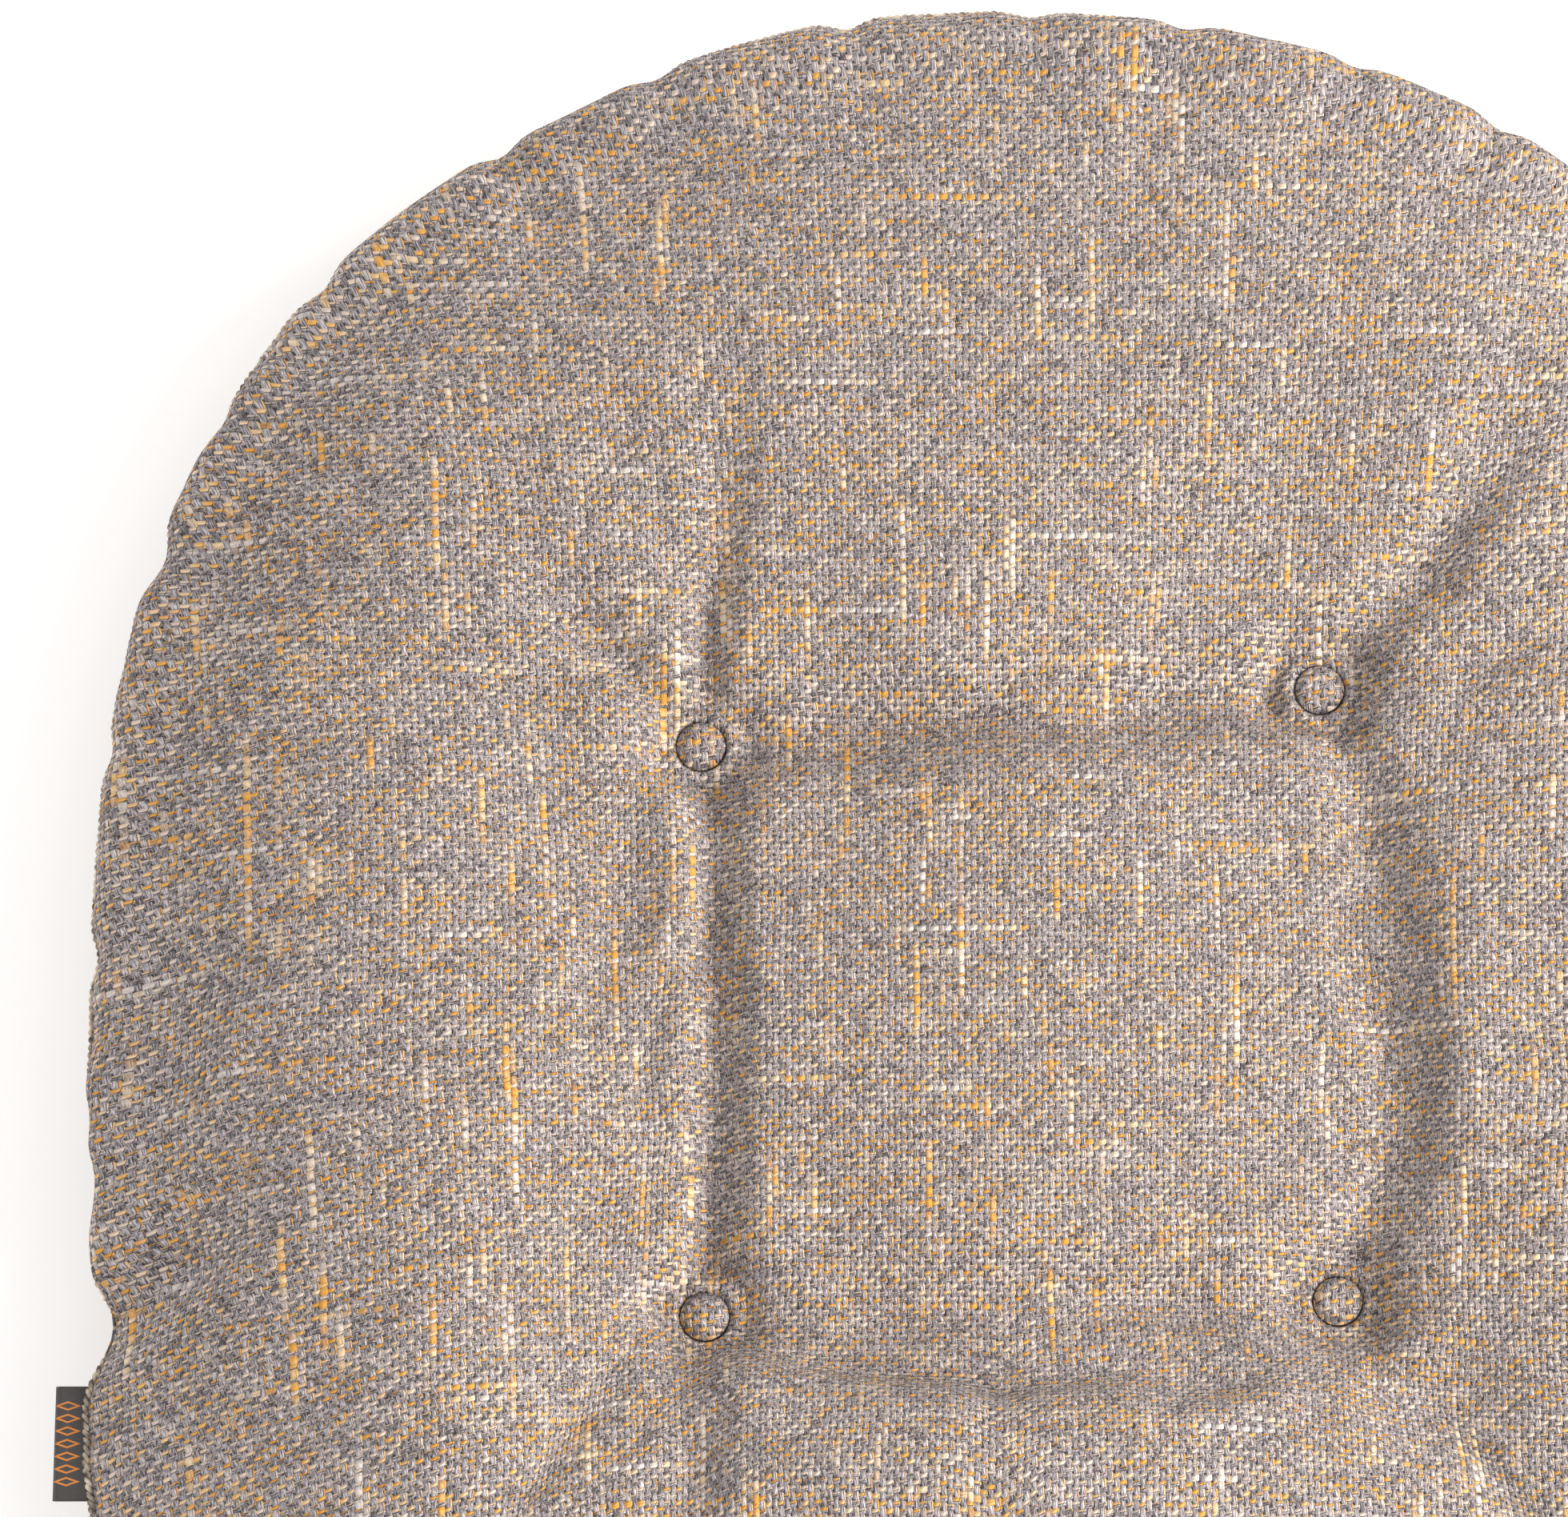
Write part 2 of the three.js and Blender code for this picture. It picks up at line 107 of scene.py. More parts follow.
class NodeTree:
    """A material's node tree, with one way to add a node and a few sums that read well."""

    def __init__(self, name: str) -> None:
        """Starts an empty material of that name."""
        self.material = bpy.data.materials.new(name)
        self.material.use_nodes = True
        self.tree = self.material.node_tree
        self.tree.nodes.clear()

    def add(self, kind: str, inputs: dict | None = None, **settings) -> bpy.types.Node:
        """Adds a node with its settings and its links.

        Args:
            kind: The node's type, such as "ShaderNodeMath".
            inputs: Values or sockets by input name or number.
            settings: The node's own properties.

        Returns:
            The new node.
        """
        node = self.tree.nodes.new(kind)
        for name, value in settings.items():
            setattr(node, name, value)
        for key, value in (inputs or {}).items():
            socket = node.inputs[key]
            if isinstance(value, bpy.types.NodeSocket):
                self.tree.links.new(value, socket)
            else:
                socket.default_value = value
        return node

    def math(self, operation: str, *values) -> bpy.types.NodeSocket:
        """One sum of the Math node; returns its result."""
        node = self.add("ShaderNodeMath", dict(enumerate(values)), operation=operation)
        return node.outputs[0]

    def plus(self, first, second) -> bpy.types.NodeSocket:
        """Adds two numbers; returns the result."""
        return self.math("ADD", first, second)

    def minus(self, first, second) -> bpy.types.NodeSocket:
        """Takes the second number from the first; returns the result."""
        return self.math("SUBTRACT", first, second)

    def times(self, first, second) -> bpy.types.NodeSocket:
        """Multiplies two numbers; returns the result."""
        return self.math("MULTIPLY", first, second)

    def line(self, value, slope, start) -> bpy.types.NodeSocket:
        """Multiplies a number by a slope and adds a start; returns the result."""
        return self.math("MULTIPLY_ADD", value, slope, start)

    def blend(self, factor, first, second) -> bpy.types.NodeSocket:
        """Goes from the first number to the second by a factor; returns the result."""
        node = self.add("ShaderNodeMix", {0: factor, 2: first, 3: second})
        return node.outputs[0]

    def tint(self, factor, first, second, how: str = "MIX") -> bpy.types.NodeSocket:
        """Mixes two colours in one of the Mix node's ways; returns the result."""
        mix = {0: factor, 6: first, 7: second}
        node = self.add("ShaderNodeMix", mix, data_type="RGBA", blend_type=how)
        return node.outputs[2]

    def step(self, value, low: float, high: float) -> bpy.types.NodeSocket:
        """A smooth step from 0 at low to 1 at high; returns its result."""
        span = {"Value": value, "From Min": low, "From Max": high}
        node = self.add("ShaderNodeMapRange", span, interpolation_type="SMOOTHSTEP")
        return node.outputs["Result"]

    def vector(self, x, y, z=0.0) -> bpy.types.NodeSocket:
        """Joins three numbers into a vector; returns it."""
        return self.add("ShaderNodeCombineXYZ", {0: x, 1: y, 2: z}).outputs[0]

    def noise(self, vector, scale: float, detail: float = 0.0) -> bpy.types.NodeSocket:
        """A noise from 0 to 1 at a place; returns its value."""
        inputs = {"Vector": vector, "Scale": scale, "Detail": detail}
        return self.add("ShaderNodeTexNoise", inputs, noise_dimensions="3D").outputs[0]

    def ramp(self, value, stops: Stops) -> bpy.types.NodeSocket:
        """Turns a number into a colour by stops of place and sRGB hex; returns it."""
        node = self.add("ShaderNodeValToRGB", {0: value})
        elements = node.color_ramp.elements
        while len(elements) < len(stops):
            elements.new(1.0)
        for element, (place, colour) in zip(elements, stops):
            element.position = place
            element.color = linear(colour)
        return node.outputs[0]

    def surface(self, inputs: dict, height=None, depth: float = 0.0) -> bpy.types.Material:
        """Ends the tree in a Principled shader, with a bump where a height is given.

        Args:
            inputs: The shader's values or sockets by name.
            height: A socket with the relief from 0 to 1.
            depth: What a relief of 1 measures, in metres.

        Returns:
            The finished material.
        """
        shader = self.add("ShaderNodeBsdfPrincipled", inputs)
        if height is not None:
            bump = self.add("ShaderNodeBump", {"Height": height, "Distance": depth})
            self.tree.links.new(bump.outputs[0], shader.inputs["Normal"])
        self.add("ShaderNodeOutputMaterial", {"Surface": shader.outputs[0]})
        return self.material


class Coordinates(Enum):
    """What a woven pattern follows."""

    FABRIC_MAP = "fabric"
    OBJECT = "object"


@dataclass(frozen=True)
class SlubWeave:
    """Plain-woven slub upholstery cloth: grey streaked warp, weft twisted with dyed yarn.

    Matt spun polyester, so the sheen is soft and wide. Each yarn shows as a slanted, rounded
    float with painted shade in the hollows round it and along the groove between its two
    strands, and here and there it swells into a white or ochre slub.
    """

    warp_pitch: float = 1.98 * MM
    weft_pitch: float = 1.86 * MM
    relief: float = 0.7 * MM
    warp_width: float = 1.02
    weft_width: float = 0.9
    lift: float = 0.5
    warp_slant: float = -0.05
    weft_slant: float = 0.1
    sway: float = 1.4 * MM
    sway_scale: float = 38.0
    dye_scale: float = 0.075
    tone_scale: float = 0.3
    slub_scale: float = 0.042
    roughness: float = 0.9
    sheen: float = 0.12
    # Painted shade: the colour that the hollows between the yarns are darkened towards.
    gap_shade: str = "2B2422"
    # Painted shade: the colour of the groove between a yarn's strands and of the line where they cross.
    parting_shade: str = "2C2422"
    greys: Stops = (
        (0.3, "4A4446"), (0.42, "787275"), (0.53, "9D979B"), (0.64, "BEB6B9"), (0.76, "DAD2D1"),
    )
    dyes: Stops = (
        (0.3, "C9BBB6"), (0.44, "DAC8BB"), (0.5, "E2C7A5"), (0.55, "E2B067"), (0.61, "DD9B3C"),
        (0.69, "E4D0BB"),
    )
    slub_dyes: Stops = ((0.42, "DDD5D0"), (0.5, "E3CBA4"), (0.57, "DD9F40"))
    streaks: Stops = ((0.35, "8A8280"), (0.55, "FFFFFF"))

    def material(self, name: str, follows: Coordinates) -> bpy.types.Material:
        """Builds the cloth's material.

        Args:
            name: The material's name.
            follows: Whether the weave follows the piece's flat map or its own place.

        Returns:
            The finished material.
        """
        t = NodeTree(name)
        u, v = self._swayed(t, follows)
        warp_no, weft_no = t.math("FLOOR", u), t.math("FLOOR", v)
        a = t.minus(t.minus(u, warp_no), 0.5)
        b = t.minus(t.minus(v, weft_no), 0.5)
        parity = t.math("FLOORED_MODULO", t.plus(warp_no, weft_no), 2.0)
        side = t.line(parity, -2.0, 1.0)
        other = t.times(side, -1.0)
        warp_slub = self._slub(t, warp_no, v, 3.7)
        weft_slub = self._slub(t, weft_no, u, 91.3)
        warp, warp_side = self._float(t, a, b, side, warp_slub, self.warp_width, self.warp_slant)
        weft, weft_side = self._float(t, b, a, other, weft_slub, self.weft_width, self.weft_slant)
        is_weft = t.step(t.minus(weft, warp), -0.02, 0.02)
        height = t.math("MAXIMUM", warp, weft)
        along = t.blend(is_weft, v, u)
        across = t.blend(is_weft, warp_side, weft_side)
        number = t.blend(is_weft, warp_no, t.plus(weft_no, 517.0))
        slub = t.blend(is_weft, warp_slub, weft_slub)
        place = t.vector(warp_no, weft_no, is_weft)
        chance = t.add("ShaderNodeTexWhiteNoise", {"Vector": place}).outputs["Value"]
        local = t.blend(is_weft, b, a)
        colour, strands = self._yarn(t, number, along, local, across, slub, is_weft, chance)
        # Painted shade: the lower the cloth lies between the floats, the more its colour goes towards the
        # hollow shade colour.
        depth = t.step(height, -0.1, 0.7)
        shade = t.tint(t.minus(1.0, depth), colour, linear(self.gap_shade))
        relief = t.line(strands, 0.2, height)
        inputs = {
            "Base Color": shade,
            "Roughness": self.roughness,
            "Sheen Weight": self.sheen,
            "Sheen Roughness": 0.5,
            "Specular IOR Level": 0.2,
        }
        return t.surface(inputs, relief, self.relief)

    def _swayed(self, t: NodeTree, follows: Coordinates) -> tuple:
        """The place on the cloth in threads each way, with the yarns a little wavy."""
        if follows is Coordinates.FABRIC_MAP:
            place = t.add("ShaderNodeUVMap", uv_map=follows.value).outputs[0]
        else:
            place = t.add("ShaderNodeTexCoord").outputs["Object"]
        wander = t.add("ShaderNodeTexNoise", {"Vector": place, "Scale": self.sway_scale})
        parts = t.add("ShaderNodeSeparateXYZ", {0: place})
        sways = t.add("ShaderNodeSeparateColor", {0: wander.outputs["Color"]})
        axes = []
        for axis, pitch in enumerate((self.warp_pitch, self.weft_pitch)):
            shift = t.times(t.minus(sways.outputs[axis], 0.5), self.sway)
            moved = t.plus(parts.outputs[axis], shift)
            axes.append(t.math("DIVIDE", moved, pitch))
        return axes[0], axes[1]

    def _slub(self, t: NodeTree, number, along, seed: float):
        """How much a yarn swells at a place along it, from 0 to 1."""
        place = t.vector(t.times(number, 5.37), t.times(along, self.slub_scale), seed)
        return t.step(t.noise(place, 1.0, 2.0), 0.62, 0.72)

    def _float(self, t: NodeTree, across, along, side, slub, width: float, slant: float) -> tuple:
        """A yarn's height, and the place across it from -1 to 1.

        It is rounded across, rises over and dips under its crossings, and its floats slant.
        """
        turn = t.times(along, math.pi)
        lean = t.times(t.times(t.math("SINE", turn), side), slant)
        lift = t.times(t.times(t.math("COSINE", turn), side), self.lift)
        size = t.line(slub, 0.16, width)
        reach = t.math("DIVIDE", t.times(t.minus(across, lean), 2.0), size)
        round_top = t.minus(1.0, t.math("POWER", t.math("ABSOLUTE", reach), 2.4))
        return t.plus(round_top, t.line(slub, 0.15, lift)), reach

    def _yarn(
        self, t: NodeTree, number, along, local, across, slub, is_weft, chance
    ) -> tuple:
        """The yarn's colour and the relief of its strands.

        A grey strand of fine filaments is twisted with a dyed one, which lies uppermost on
        most weft floats, and the dye changes every few centimetres along the yarn. The groove
        between the strands and the line where they cross get painted shade, less on slubs.
        """
        seed, spread = t.times(number, 7.31), t.minus(chance, 0.5)
        dye = t.noise(t.vector(seed, t.times(along, self.dye_scale), 11.0), 1.0, 2.0)
        tone = t.noise(t.vector(seed, t.times(along, self.tone_scale), 57.0), 1.0, 1.0)
        slope = t.line(across, 0.9, t.times(along, 0.9))
        streak = t.noise(t.vector(t.line(across, 3.4, seed), slope, 23.0), 1.0, 2.0)
        shade = t.plus(t.line(spread, 0.16, streak), t.times(t.minus(tone, 0.5), 0.35))
        uppermost = t.plus(t.line(spread, 1.3, across), t.line(is_weft, 1.0, -0.9))
        groove = t.step(t.math("ABSOLUTE", uppermost), 0.0, 0.2)
        dyed = t.math("MAXIMUM", t.step(uppermost, -0.12, 0.12), t.times(slub, 0.9))
        accent = t.ramp(t.line(spread, 0.07, dye), self.dyes)
        colour = t.tint(dyed, t.ramp(shade, self.greys), accent)
        colour = t.tint(t.times(slub, 0.75), colour, t.ramp(dye, self.slub_dyes))
        streaks = t.tint(0.35, linear("FFFFFF"), t.ramp(streak, self.streaks))
        colour = t.tint(1.0, colour, streaks, "MULTIPLY")
        # Painted shade in the groove where the strands part and, on weft floats, where they cross; less on
        # slubs.
        crossing_shade = self._crossing_shade(t, spread, local, across)
        dark = t.times(t.minus(1.0, groove), 0.75)
        dark = t.math("MAXIMUM", dark, t.times(crossing_shade, is_weft))
        dark = t.times(dark, t.minus(1.0, t.times(slub, 0.8)))
        colour = t.tint(dark, colour, linear(self.parting_shade))
        return colour, t.plus(groove, t.times(streak, 0.9))

    def _crossing_shade(self, t: NodeTree, spread, local, across):
        """The painted shade line across a float where its two strands cross, from 0 to 1."""
        place = t.line(across, 0.2, t.line(spread, 0.5, 0.26))
        return t.minus(1.0, t.step(t.math("ABSOLUTE", t.minus(local, place)), 0.0, 0.1))


@dataclass(frozen=True)
class TwillTape:
    """Woven polyester label tape: near-black satin with a fine diagonal rib.

    Its only ornament is a row of small ochre lozenges.
    """

    rib: float = 0.4 * MM
    ground: str = "262425"
    rib_colour: str = "454141"
    ornament: str = "E08A2C"
    middle: float = 0.75
    spacing: float = 3.3 * MM
    first: float = 3.4 * MM
    last: float = 26.5 * MM

    def material(self, name: str) -> bpy.types.Material:
        """Builds the tape's material on its own map: across from 0 to 1, along in metres."""
        t = NodeTree(name)
        place = t.add("ShaderNodeUVMap", uv_map="tape").outputs[0]
        parts = t.add("ShaderNodeSeparateXYZ", {0: place})
        across, along = parts.outputs[0], parts.outputs[1]
        threads = t.math("DIVIDE", along, self.rib)
        diagonal = t.plus(threads, t.times(across, 15.0))
        rib = t.times(t.math("PINGPONG", diagonal, 0.5), 2.0)
        colour = t.tint(rib, linear(self.ground), linear(self.rib_colour))
        walked = t.minus(along, self.first)
        turn = t.math("FRACT", t.math("DIVIDE", walked, self.spacing))
        lengthwise = t.times(t.math("ABSOLUTE", t.minus(turn, 0.5)), 2.6)
        sideways = t.math("ABSOLUTE", t.minus(across, self.middle))
        size = t.line(sideways, 4.0, lengthwise)
        outline = t.math("ABSOLUTE", t.minus(size, 0.78))
        drawn = t.math("LESS_THAN", outline, 0.2)
        drawn = t.times(drawn, t.math("GREATER_THAN", along, self.first))
        drawn = t.times(drawn, t.math("LESS_THAN", along, self.last))
        thread = t.tint(rib, linear("B86A1C"), linear(self.ornament))
        colour = t.tint(drawn, colour, thread)
        inputs = {"Base Color": colour, "Roughness": 0.5, "Sheen Weight": 0.15}
        relief = t.line(drawn, 0.8, rib)
        return t.surface(inputs, relief, 0.1 * MM)


@dataclass(frozen=True)
class Plain:
    """A finish of one tone with a fine grain: foam, wadding, twine, plastic or plated steel."""

    colour: str
    shade: str
    roughness: float
    metallic: float = 0.0
    grain: float = 900.0
    depth: float = 0.1 * MM

    def material(self, name: str) -> bpy.types.Material:
        """Builds the material, with its grain in both colour and relief."""
        t = NodeTree(name)
        place = t.add("ShaderNodeTexCoord").outputs["Object"]
        grain = t.noise(place, self.grain, 3.0)
        colour = t.tint(t.step(grain, 0.3, 0.7), linear(self.shade), linear(self.colour))
        inputs = {"Base Color": colour, "Roughness": self.roughness, "Metallic": self.metallic}
        return t.surface(inputs, grain, self.depth)


# Open-cell polyurethane foam: cut, matt and finely pitted.
FOAM = Plain("EFE6C4", "D8CDA4", 0.95, grain=1400.0, depth=0.4 * MM)
# Carded polyester wadding: bright, soft and fibrous.
WADDING = Plain("F6F5F1", "E2E0DA", 1.0, grain=500.0, depth=0.8 * MM)
# Waxed polyester twine: slightly shiny, with a coarse twist.
TWINE = Plain("8A8078", "5F5750", 0.6, grain=1800.0, depth=0.2 * MM)
# Moulded polyamide: dark, satin and faintly textured.
NYLON = Plain("4A4744", "413E3B", 0.42, grain=2500.0, depth=0.02 * MM)
# Cotton-wrapped polyester sewing thread: matt, warm grey.
THREAD = Plain("8F867C", "6A625B", 0.8, grain=2600.0, depth=0.05 * MM)
# The cloth's own yarns where the edge is rolled: streaks of dark and cream.
ROLL = Plain("E2D3C0", "4E443F", 0.9, grain=300.0, depth=0.3 * MM)
# Nickel-plated pressed steel: bright, with faint drawing marks.
NICKEL = Plain("C9C8C4", "B4B3AF", 0.28, metallic=1.0, grain=1200.0, depth=0.01 * MM)


# ---------------------------------------------------------------- shapes


def smooth(low: float, high: float, value):
    """A smooth step from 0 at low to 1 at high, for numbers and arrays alike."""
    share = np.clip((value - low) / (high - low), 0.0, 1.0)
    return share * share * (3.0 - 2.0 * share)


def bump(away, width):
    """A rounded rise of 1 at 0 that has nearly died away at twice its width."""
    return np.exp(-((away / width) ** 2))


def furrow(away, width):
    """A dip's depth at a distance from its line, with the cloth a little raised beside it."""
    return bump(away, width) - 0.3 * bump(away, width * 2.4)


def turned(angle):
    """An angle, or an array of them, brought between minus and plus half a turn."""
    return (angle + math.pi) % (2 * math.pi) - math.pi


def coordinates(mesh: bpy.types.Mesh) -> np.ndarray:
    """The mesh's points as rows of x, y and z."""
    flat = np.zeros(len(mesh.vertices) * 3)
    mesh.vertices.foreach_get("co", flat)
    return flat.reshape(-1, 3)


def normals(mesh: bpy.types.Mesh) -> np.ndarray:
    """The mesh's outward directions at its points, as rows."""
    flat = np.zeros(len(mesh.vertices) * 3)
    mesh.vertices.foreach_get("normal", flat)
    return flat.reshape(-1, 3)


def values(mesh: bpy.types.Mesh, name: str) -> np.ndarray:
    """One number per point or face from an attribute of that name."""
    data = mesh.attributes[name].data
    result = np.zeros(len(data))
    data.foreach_get("value", result)
    return result


def on_top(mesh: bpy.types.Mesh) -> np.ndarray:
    """Which of the cover's points belong to its top panel."""
    result = np.zeros(len(mesh.vertices), bool)
    for polygon, top in zip(mesh.polygons, values(mesh, "is_top")):
        if top:
            result[list(polygon.vertices)] = True
    return result


def place_points(mesh: bpy.types.Mesh, points: np.ndarray) -> None:
    """Moves the mesh's points to the given rows."""
    mesh.vertices.foreach_set("co", np.ascontiguousarray(points, float).ravel())
    mesh.update()


def add_object(name: str, mesh: bpy.types.Mesh) -> bpy.types.Object:
    """Links a smooth-shaded object for a mesh; returns it."""
    piece = bpy.data.objects.new(name, mesh)
    bpy.context.scene.collection.objects.link(piece)
    mesh.polygons.foreach_set("use_smooth", [True] * len(mesh.polygons))
    return piece


def declared(
    piece: bpy.types.Object,
    material: bpy.types.Material,
    node: str | None = None,
) -> bpy.types.Object:
    """Gives a piece of the pad its material and its place in the frame.

    Args:
        piece: The piece, in place.
        material: What it is made of.
        node: The frame's node that it replaces, if any.

    Returns:
        The piece.
    """
    piece.data.materials.append(material)
    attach(piece, PAD_BODY)
    if node:
        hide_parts(node)
    return piece


def finished(bm: bmesh.types.BMesh, name: str) -> bpy.types.Object:
    """Turns a bmesh into a linked, smooth-shaded object; returns it."""
    mesh = bpy.data.meshes.new(name)
    bm.to_mesh(mesh)
    bm.free()
    return add_object(name, mesh)


def applied(piece: bpy.types.Object) -> bpy.types.Object:
    """Works a piece's modifiers into its mesh; returns the piece."""
    shaped = piece.evaluated_get(bpy.context.evaluated_depsgraph_get())
    mesh = bpy.data.meshes.new_from_object(shaped)
    piece.modifiers.clear()
    piece.data = mesh
    return piece


def turned_solid(profile: list[tuple[float, float]], steps: int, name: str, at: Vector):
    """Spins a closed profile of radius and height round an upright axis.

    Args:
        profile: Radius and height in metres, starting and ending on the axis.
        steps: How many sides the solid has.
        name: The piece's name.
        at: Where the axis stands.

    Returns:
        The piece, faces outward.
    """
    bm = bmesh.new()
    verts = [bm.verts.new((radius, 0.0, height)) for radius, height in profile]
    edges = [bm.edges.new(pair) for pair in zip(verts, verts[1:])]
    bmesh.ops.spin(
        bm, geom=verts + edges, cent=(0, 0, 0), axis=(0, 0, 1), angle=math.tau, steps=steps
    )
    bmesh.ops.remove_doubles(bm, verts=bm.verts[:], dist=0.01 * MM)
    bmesh.ops.recalc_face_normals(bm, faces=bm.faces[:])
    bmesh.ops.translate(bm, verts=bm.verts[:], vec=at)
    return finished(bm, name)


def strand(paths: list[np.ndarray], radius: float, closed: bool, name: str, sides: int = 2):
    """Lays round threads along paths.

    Args:
        paths: Rows of points for each thread.
        radius: Half a thread's thickness.
        closed: Whether each path runs back into its start.
        name: The piece's name.
        sides: The thread's roundness.

    Returns:
        One piece with all the threads.
    """
    curve = bpy.data.curves.new(name, "CURVE")
    curve.dimensions = "3D"
    curve.bevel_depth = radius
    curve.bevel_resolution = sides - 1
    curve.use_fill_caps = not closed
    for path in paths:
        spline = curve.splines.new("POLY")
        spline.points.add(len(path) - 1)
        rows = np.concatenate([path, np.ones((len(path), 1))], axis=1)
        spline.points.foreach_set("co", rows.ravel())
        spline.use_cyclic_u = closed
    shape = bpy.data.objects.new(name, curve)
    bpy.context.scene.collection.objects.link(shape)
    shaped = shape.evaluated_get(bpy.context.evaluated_depsgraph_get())
    mesh = bpy.data.meshes.new_from_object(shaped)
    bpy.data.objects.remove(shape)
    mesh.name = name
    return add_object(name, mesh)


def wound(path: np.ndarray, radius: float, pitch: float, phase: float) -> np.ndarray:
    """Winds a thread round a closed path.

    Args:
        path: The path's points, evenly spaced.
        radius: How far the thread lies from the path.
        pitch: The path's length per turn.
        phase: Where the first turn starts, in radians.

    Returns:
        The thread's points.
    """
    ahead = np.roll(path, -1, axis=0) - np.roll(path, 1, axis=0)
    ahead /= np.linalg.norm(ahead, axis=1, keepdims=True)
    side = np.cross(ahead, (0.0, 0.0, 1.0))
    side /= np.linalg.norm(side, axis=1, keepdims=True)
    above = np.cross(side, ahead)
    gaps = np.linalg.norm(np.diff(path, axis=0, append=path[:1]), axis=1)
    walked = np.concatenate([[0.0], np.cumsum(gaps)[:-1]])
    turns = max(1, round(gaps.sum() / pitch))
    angle = (walked / gaps.sum() * turns * math.tau + phase)[:, None]
    return path + radius * (np.cos(angle) * side + np.sin(angle) * above)


def spaced(path: np.ndarray, step: float) -> np.ndarray:
    """Spreads a closed path's points evenly, about a step apart."""
    gaps = np.linalg.norm(np.diff(path, axis=0, append=path[:1]), axis=1)
    walked = np.concatenate([[0.0], np.cumsum(gaps)])
    loop = np.concatenate([path, path[:1]])
    places = np.linspace(0.0, walked[-1], max(8, round(walked[-1] / step)), endpoint=False)
    return np.stack([np.interp(places, walked, loop[:, k]) for k in range(3)], axis=1)


@dataclass
class PadOutline:
    """The pad's plan: a round back and a squarer front that meet where it is widest."""

    width: float
    depth: float
    widest_y: float = -12 * MM
    back_power: float = 2.25
    front_power: float = 5.5
    corner_back_deg: float = 48.0
    corner_front_deg: float = -47.0
    samples: int = 4000

    def __post_init__(self) -> None:
        """Measures the outline, so that it can be walked at an even pace."""
        self.turns = np.linspace(0.0, 2 * math.pi, self.samples + 1)
        radii = self.radius(self.turns)
        self.points = np.stack([radii * np.cos(self.turns), radii * np.sin(self.turns)], axis=1)
        steps = np.hypot(*np.diff(self.points, axis=0).T)
        self.walked = np.concatenate([[0.0], np.cumsum(steps)])
        self.length = float(self.walked[-1])
        back = self.share_at(math.radians(self.corner_back_deg))
        front = self.share_at(math.radians(self.corner_front_deg))
        self.corners = [0.0, back, 0.5 - back, 1.5 - front, front, 1.0]

    def radius(self, turn: np.ndarray) -> np.ndarray:
        """The distance from the middle to the outline in each direction."""
        is_back = np.sin(turn) >= 0
        power = np.where(is_back, self.back_power, self.front_power)
        reach = self.depth / 2 + np.where(is_back, -self.widest_y, self.widest_y)
        across = np.abs(np.cos(turn) / (self.width / 2)) ** power
        along = np.abs(np.sin(turn) / reach) ** power
        return (across + along) ** (-1 / power)

    def share_at(self, turn: float) -> float:
        """How far round the outline a direction is, from 0 to 1."""
        return float(np.interp(turn % (2 * math.pi), self.turns, self.walked)) / self.length

    def at(self, share: float) -> np.ndarray:
        """The outline's point at a share of the way round, about the plan's own middle."""
        walked = (share % 1.0) * self.length
        return np.array([np.interp(walked, self.walked, self.points[:, k]) for k in (0, 1)])

    def from_square(self, u: float, v: float) -> np.ndarray:
        """Carries a place in the square from -1 to 1 to its place in the plan.

        Args:
            u: The place across.
            v: The place along.

        Returns:
            The plan's x and y, even in the middle and in step with the outline at the rim.
        """
        ring = max(abs(u), abs(v))
        if ring < 1e-9:
            return np.zeros(2)
        across, along = u / ring, v / ring
        tight = 1 - 1e-9
        if across >= tight and along >= 0:
            walk = along
        elif along >= tight:
            walk = 2 - across
        elif across <= -tight:
            walk = 4 - along
        elif along <= -tight:
            walk = 6 + across
        else:
            walk = 8 + along
        share = float(np.interp(walk, [0, 1, 3, 5, 7, 8], self.corners))
        inner = 0.93 * np.array([u * self.width / 2, v * self.depth / 2])
        hold = ring**1.5
        return (1 - hold) * inner + hold * ring * self.at(share)


@dataclass
class Tuft:
    """One button's place: its middle, its seat on the top and its seat underneath."""

    place: str
    x: float
    y: float
    button_low: float
    button_high: float
    under_seat: float

    @classmethod
    def from_frame(cls, place: str) -> "Tuft":
        """Reads a tuft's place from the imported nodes."""
        low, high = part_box(f"button_fabric_{place}")
        _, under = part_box(f"backing_button_{place}")
        middle_x, middle_y = (low[0] + high[0]) / 2, (low[1] + high[1]) / 2
        return cls(place, middle_x, middle_y, low[2], high[2], under[2])


@dataclass(frozen=True)
class Gather:
    """A pucker of the edge seam: where it is round the outline and how far it pulls in."""

    turn_deg: float
    depth: float = 2.6 * MM
    width: float = 5.5 * MM
    reach: float = 34 * MM
    skew: float = 0.0


@dataclass(frozen=True)
class Fold:
    """A crease in the top panel that starts at a button."""

    place: str
    turn_deg: float
    length: float
    width: float
    depth: float
    bend: float = 0.0
    start: float = 4 * MM
    through: bool = False


@dataclass(frozen=True)
class Swell:
    """A place under the top panel where the filling is packed fuller, or thinner below 0."""

    x: float
    y: float
    reach_x: float
    reach_y: float
    rise: float


